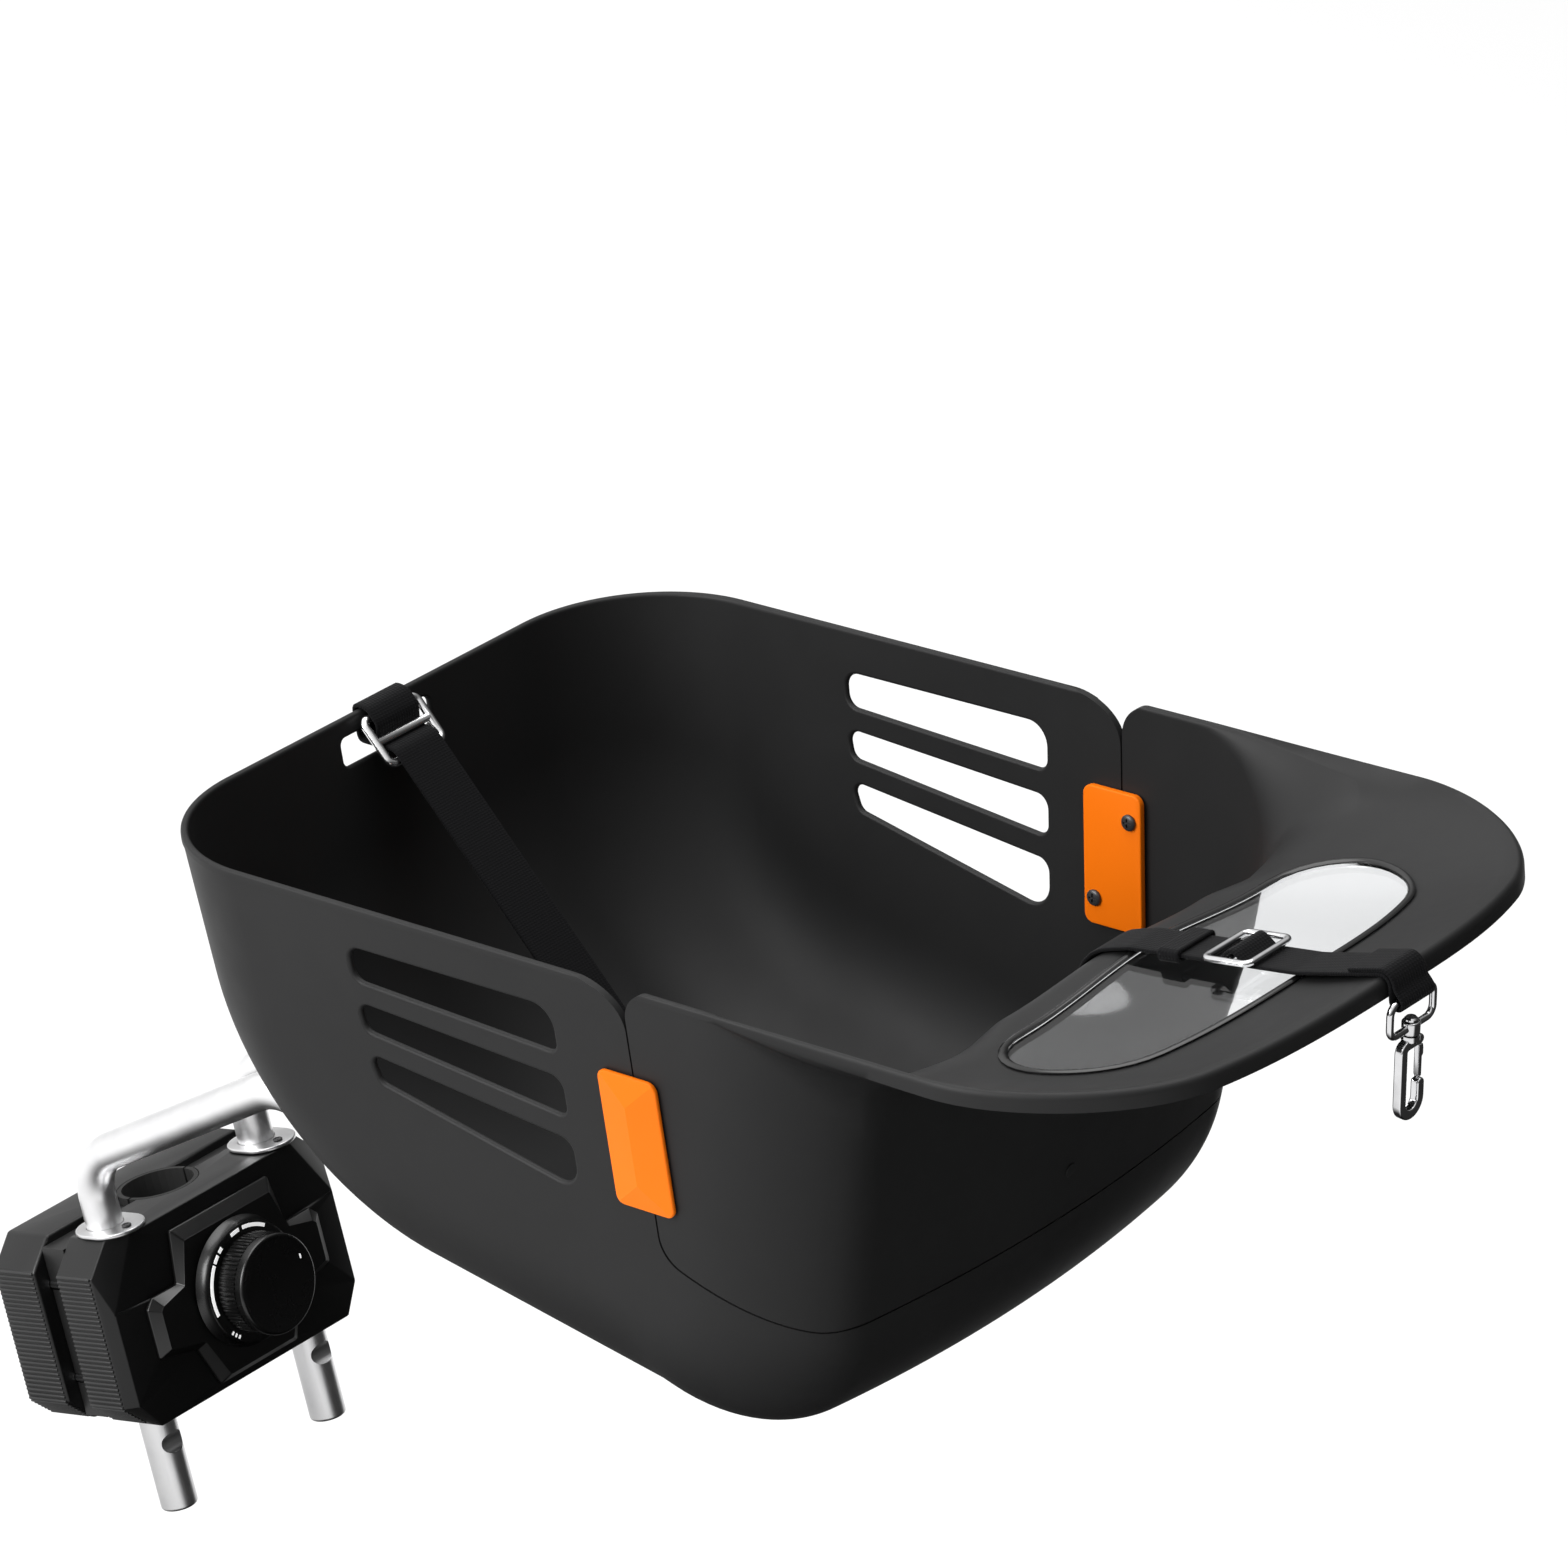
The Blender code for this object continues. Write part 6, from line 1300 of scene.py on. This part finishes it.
def anchor_plate(width):
    """A small steel plate with rounded corners and a hole for its rivet."""
    plate = prism(rounded(oblong(0.009, width / 2 + 0.004), 0.002, 5), 0.0, plate_thickness)
    return carved(softened(plate, 0.0005), [pin(0.0021, -0.01, 0.01, 32)])


slot_spot = Vector((-tan(rear_lean) * strap_slot_z, strap_slot_z))
run_start = Vector((tub_wall + 2 * over, over - web_thickness / 2))
run_end = above_floor(0.173)
strap_path = [slot_spot + Vector((tub_wall + 3 * over, 0)), slot_spot + Vector((tub_wall / 2, 0))]
strap_path += arc(slot_spot + Vector((0, over)), over, 270, 180) + arc((0, 0), over, 180, 90)
strap_path += [(tub_wall, over)] + wave(run_start, run_end, rear_slider_run, -2 * slider_lift)
strap_path += [above_floor(0.200)]
finished("rear_webbing", webbing(strap_path, rear_web_width), webbing_black, "basket",
         basket_turn, ["rear_strap"], 60)
run_along = (run_end - run_start).normalized()
slider_at = strap_frame(run_start + run_along * rear_slider_run, run_along, -slider_lift)
satin_nickel = brushed_metal("satin_nickel", (0.88, 0.88, 0.89), (0.95, 0.95, 0.95), 0.20, 140.0)
finished("rear_buckle", slider_frame(rear_web_width, 0.0018, 0.9), satin_nickel, "basket",
         slider_at, ["rear_slider"], 40)
plate_at = strap_frame(above_floor(0.191), Vector((cos(floor_lean), -sin(floor_lean))), web_top)
finished("rear_plate", anchor_plate(rear_web_width), chrome, "basket",
         plate_at, ["rear_anchor"], 30)
finished("rear_rivet", strap_rivet(0.0040, 0.0012), chrome, "basket",
         plate_at, ["rear_anchor_rivet"], 30)

# Tether: narrower webbing riveted inside the front wall. It runs up over the pane
# through a slider and a sewn keeper, and its doubled end hangs a ring past the lip.
tether_width = 0.020
anchor_depth = tub_depth * 0.54214
pane_lift = 0.0031
tether_slider_x = 0.440
keeper_x = 0.411
keeper_width = 0.010
ring_wire = 0.0015
loop_round = ring_wire + web_top
double = web_thickness + clearance
lip_edge, lip_tub = (value[0] for value in rim_radius(np.zeros(1)))
front_wall = [curve[0] for curve in wall_lines(np.zeros(1), tub_wall)]
front_cut = upright_cut(lip_edge, lip_edge - lip_tub, 0.0, *front_wall, False)
front_x, front_z = front_cut[0] + tub_middle, front_cut[1]
step_x, step_z = np.gradient(front_x), np.gradient(front_z)
size = np.hypot(step_x, step_z)
line_x, line_z = front_x + step_z / size * over, front_z - step_x / size * over
on_wall = (line_z > -anchor_depth - 0.009) & (line_x < window_rear - 0.0072)
tether_path = []
for spot in list(zip(line_x[on_wall], line_z[on_wall]))[::-1]:
    if not tether_path or dist(spot, tether_path[-1]) > 0.005:
        tether_path.append(spot)
rear_crest, front_crest = (Vector((x, top_at(x) + pane_lift)) for x in (window_rear, window_front))
tether_along = (front_crest - rear_crest).normalized()
slider_share = (tether_slider_x - window_rear) / (window_front - window_rear)
keeper_share = (keeper_x - window_rear) / (window_front - window_rear)
slider_run = (front_crest - rear_crest).length * slider_share
lip_top = front_cut[2]
lip_centre = Vector((tub_middle + front_cut[0][0], lip_top - lip_roll))
ring_x = lip_centre.x + lip_roll + over + loop_round
ring_z = lip_top - 0.009
tether_path += wave(rear_crest, front_crest, slider_run, 2 * slider_lift)
tether_path += arc(lip_centre, lip_roll + over, 75, 0)
tether_path += arc((ring_x, ring_z), loop_round + 0.0002, 180, 397, 16)
tether_path += [(ring_x - loop_round + double, ring_z + 2 * loop_round)]
tether_path += arc(lip_centre, lip_roll + over + double, 0, 78)
sewn_along = (front_crest - lip_centre - Vector((0, lip_roll + over))).normalized()
tether_path += [Vector(tether_path[-1]) + sewn_along * 0.016]
finished("tether_webbing", webbing(tether_path, tether_width, False, 0.0009), webbing_black, "basket",
         basket_turn, ["tether_strap"], 60)
buckle_at = strap_frame(rear_crest + tether_along * slider_run, tether_along, slider_lift)
finished("tether_buckle", slider_frame(tether_width, slider_wire, 0.85), chrome, "basket",
         buckle_at, ["tether_slider"], 40)
keeper_path = rounded(oblong(tether_width / 2 + web_top, double), 0.0012, 5)
keeper_at = strap_frame(rear_crest.lerp(front_crest, keeper_share), tether_along, 0.0)
finished("tether_fold", webbing(keeper_path, keeper_width, True, 0.0006), webbing_black, "basket",
         keeper_at @ Matrix.Rotation(pi / 2, 4, "Z"), ["tether_keeper"], 60)
wall_spot = Vector((np.interp(-anchor_depth, line_z[::-1], line_x[::-1]), -anchor_depth))
wall_at = strap_frame(wall_spot, Vector((sin(front_lean), cos(front_lean))), web_top)
finished("tether_plate", anchor_plate(tether_width), chrome, "basket",
         wall_at, ["tether_anchor"], 30)
finished("tether_rivet", strap_rivet(0.0030, 0.0005), shell_black, "basket",
         wall_at, ["tether_anchor_rivet"], 30)

# Ring, snap hook and gate: bright nickel-plated castings. The hook turns on a stud
# in the ring's barrel, and a sprung lever closes the hook's mouth.
ring_drop = 0.0135
ring_at = basket_turn @ at(ring_x, 0, ring_z) @ Matrix.Rotation(basket_tilt, 4, "Y")
ring_path = [(0, *spot) for spot in rounded(oblong(0.01325, ring_drop / 2, (0, -ring_drop / 2)), 0.004, 8)]
barrel_edge = [(0, -0.01625), (0.0036, -0.01625), (0.0036, -0.01075), (0, -0.01075)]
barrel = turned(rounded(barrel_edge, [0, 0.0007, 0.0007, 0], 4))
ring_body = carved(rod(ring_path, ring_wire, 20, True, Vector((1, 0, 0))), [barrel], "UNION")
ring_body = carved(ring_body, [pin(0.0017, -0.03, -0.0018, 32)])
finished("swivel_ring", ring_body, chrome, "tether_ring", ring_at, ["tether_ring"], 40)


def strip(path, half):
    """The outline of a bar of even width along a path, its ends rounded."""
    path = [Vector(spot) for spot in path]
    cap_turns = [pi * step / 8 for step in range(1, 8)]
    left, right, caps = [], [], []
    for index, spot in enumerate(path):
        along = (path[min(index + 1, len(path) - 1)] - path[max(index - 1, 0)]).normalized()
        normal = upright(along) * half
        left.append(spot + normal)
        right.append(spot - normal)
        if index in (0, len(path) - 1):
            way = along * (half if index else -half)
            caps.append([spot + normal * cos(turn) + way * sin(turn) for turn in cap_turns])
    return left + caps[1] + right[::-1] + caps[0][::-1]


hook_half = 0.0055
hook_top = -0.00655
hook_low = hook_top - 0.0245
tip_height = hook_low + 0.00735
gate_top = hook_top - 0.0028
gate_low = tip_height + 0.0008
hook_shoulder = [(0, hook_top), (-hook_half, hook_top), (-hook_half, hook_low)]
hook_path = [(0.0045, hook_top), (0.002, hook_top)] + rounded(hook_shoulder, [0, 0.0032, 0], 8)[1:-1]
hook_path += arc((0, hook_low), hook_half, 180, 360, 16) + [(hook_half, tip_height - 0.0018)]
hook_cast = softened(prism(strip(hook_path, 0.0020), -0.0019, 0.0019, "YZX"), 0.0008)
stud_profile = [(0, 0.00425), (0.0020, 0.00425), (0.0026, 0.0037), (0.0026, 0.00305), (0.0014, 0.00305)]
stud_profile += [(0.0014, -0.00305), (0.0036, -0.00305), (0.0036, -0.0052), (0.0031, -0.0058), (0, -0.0062)]
hook = carved(hook_cast, [turned(stud_profile, 40)], "UNION")
hook_at = ring_at @ at(0, 0, -ring_drop)
finished("cast_hook", hook, chrome, "snap_hook", hook_at, ["hook_body"], 35)
gate_outline = [
    (0.0042, gate_top), (0.0066, gate_top), (0.0070, gate_top - 0.0020), (0.0070, gate_top - 0.0045),
    (0.0062, gate_top - 0.0055), (0.0062, gate_low), (0.0046, gate_low), (0.0042, gate_low + 0.0010),
]
gate_lever = softened(prism(gate_outline, -0.0012, 0.0012, "YZX"), 0.0003, 2)
finished("gate_lever", gate_lever, chrome, "snap_gate", hook_at, ["hook_gate"], 35)
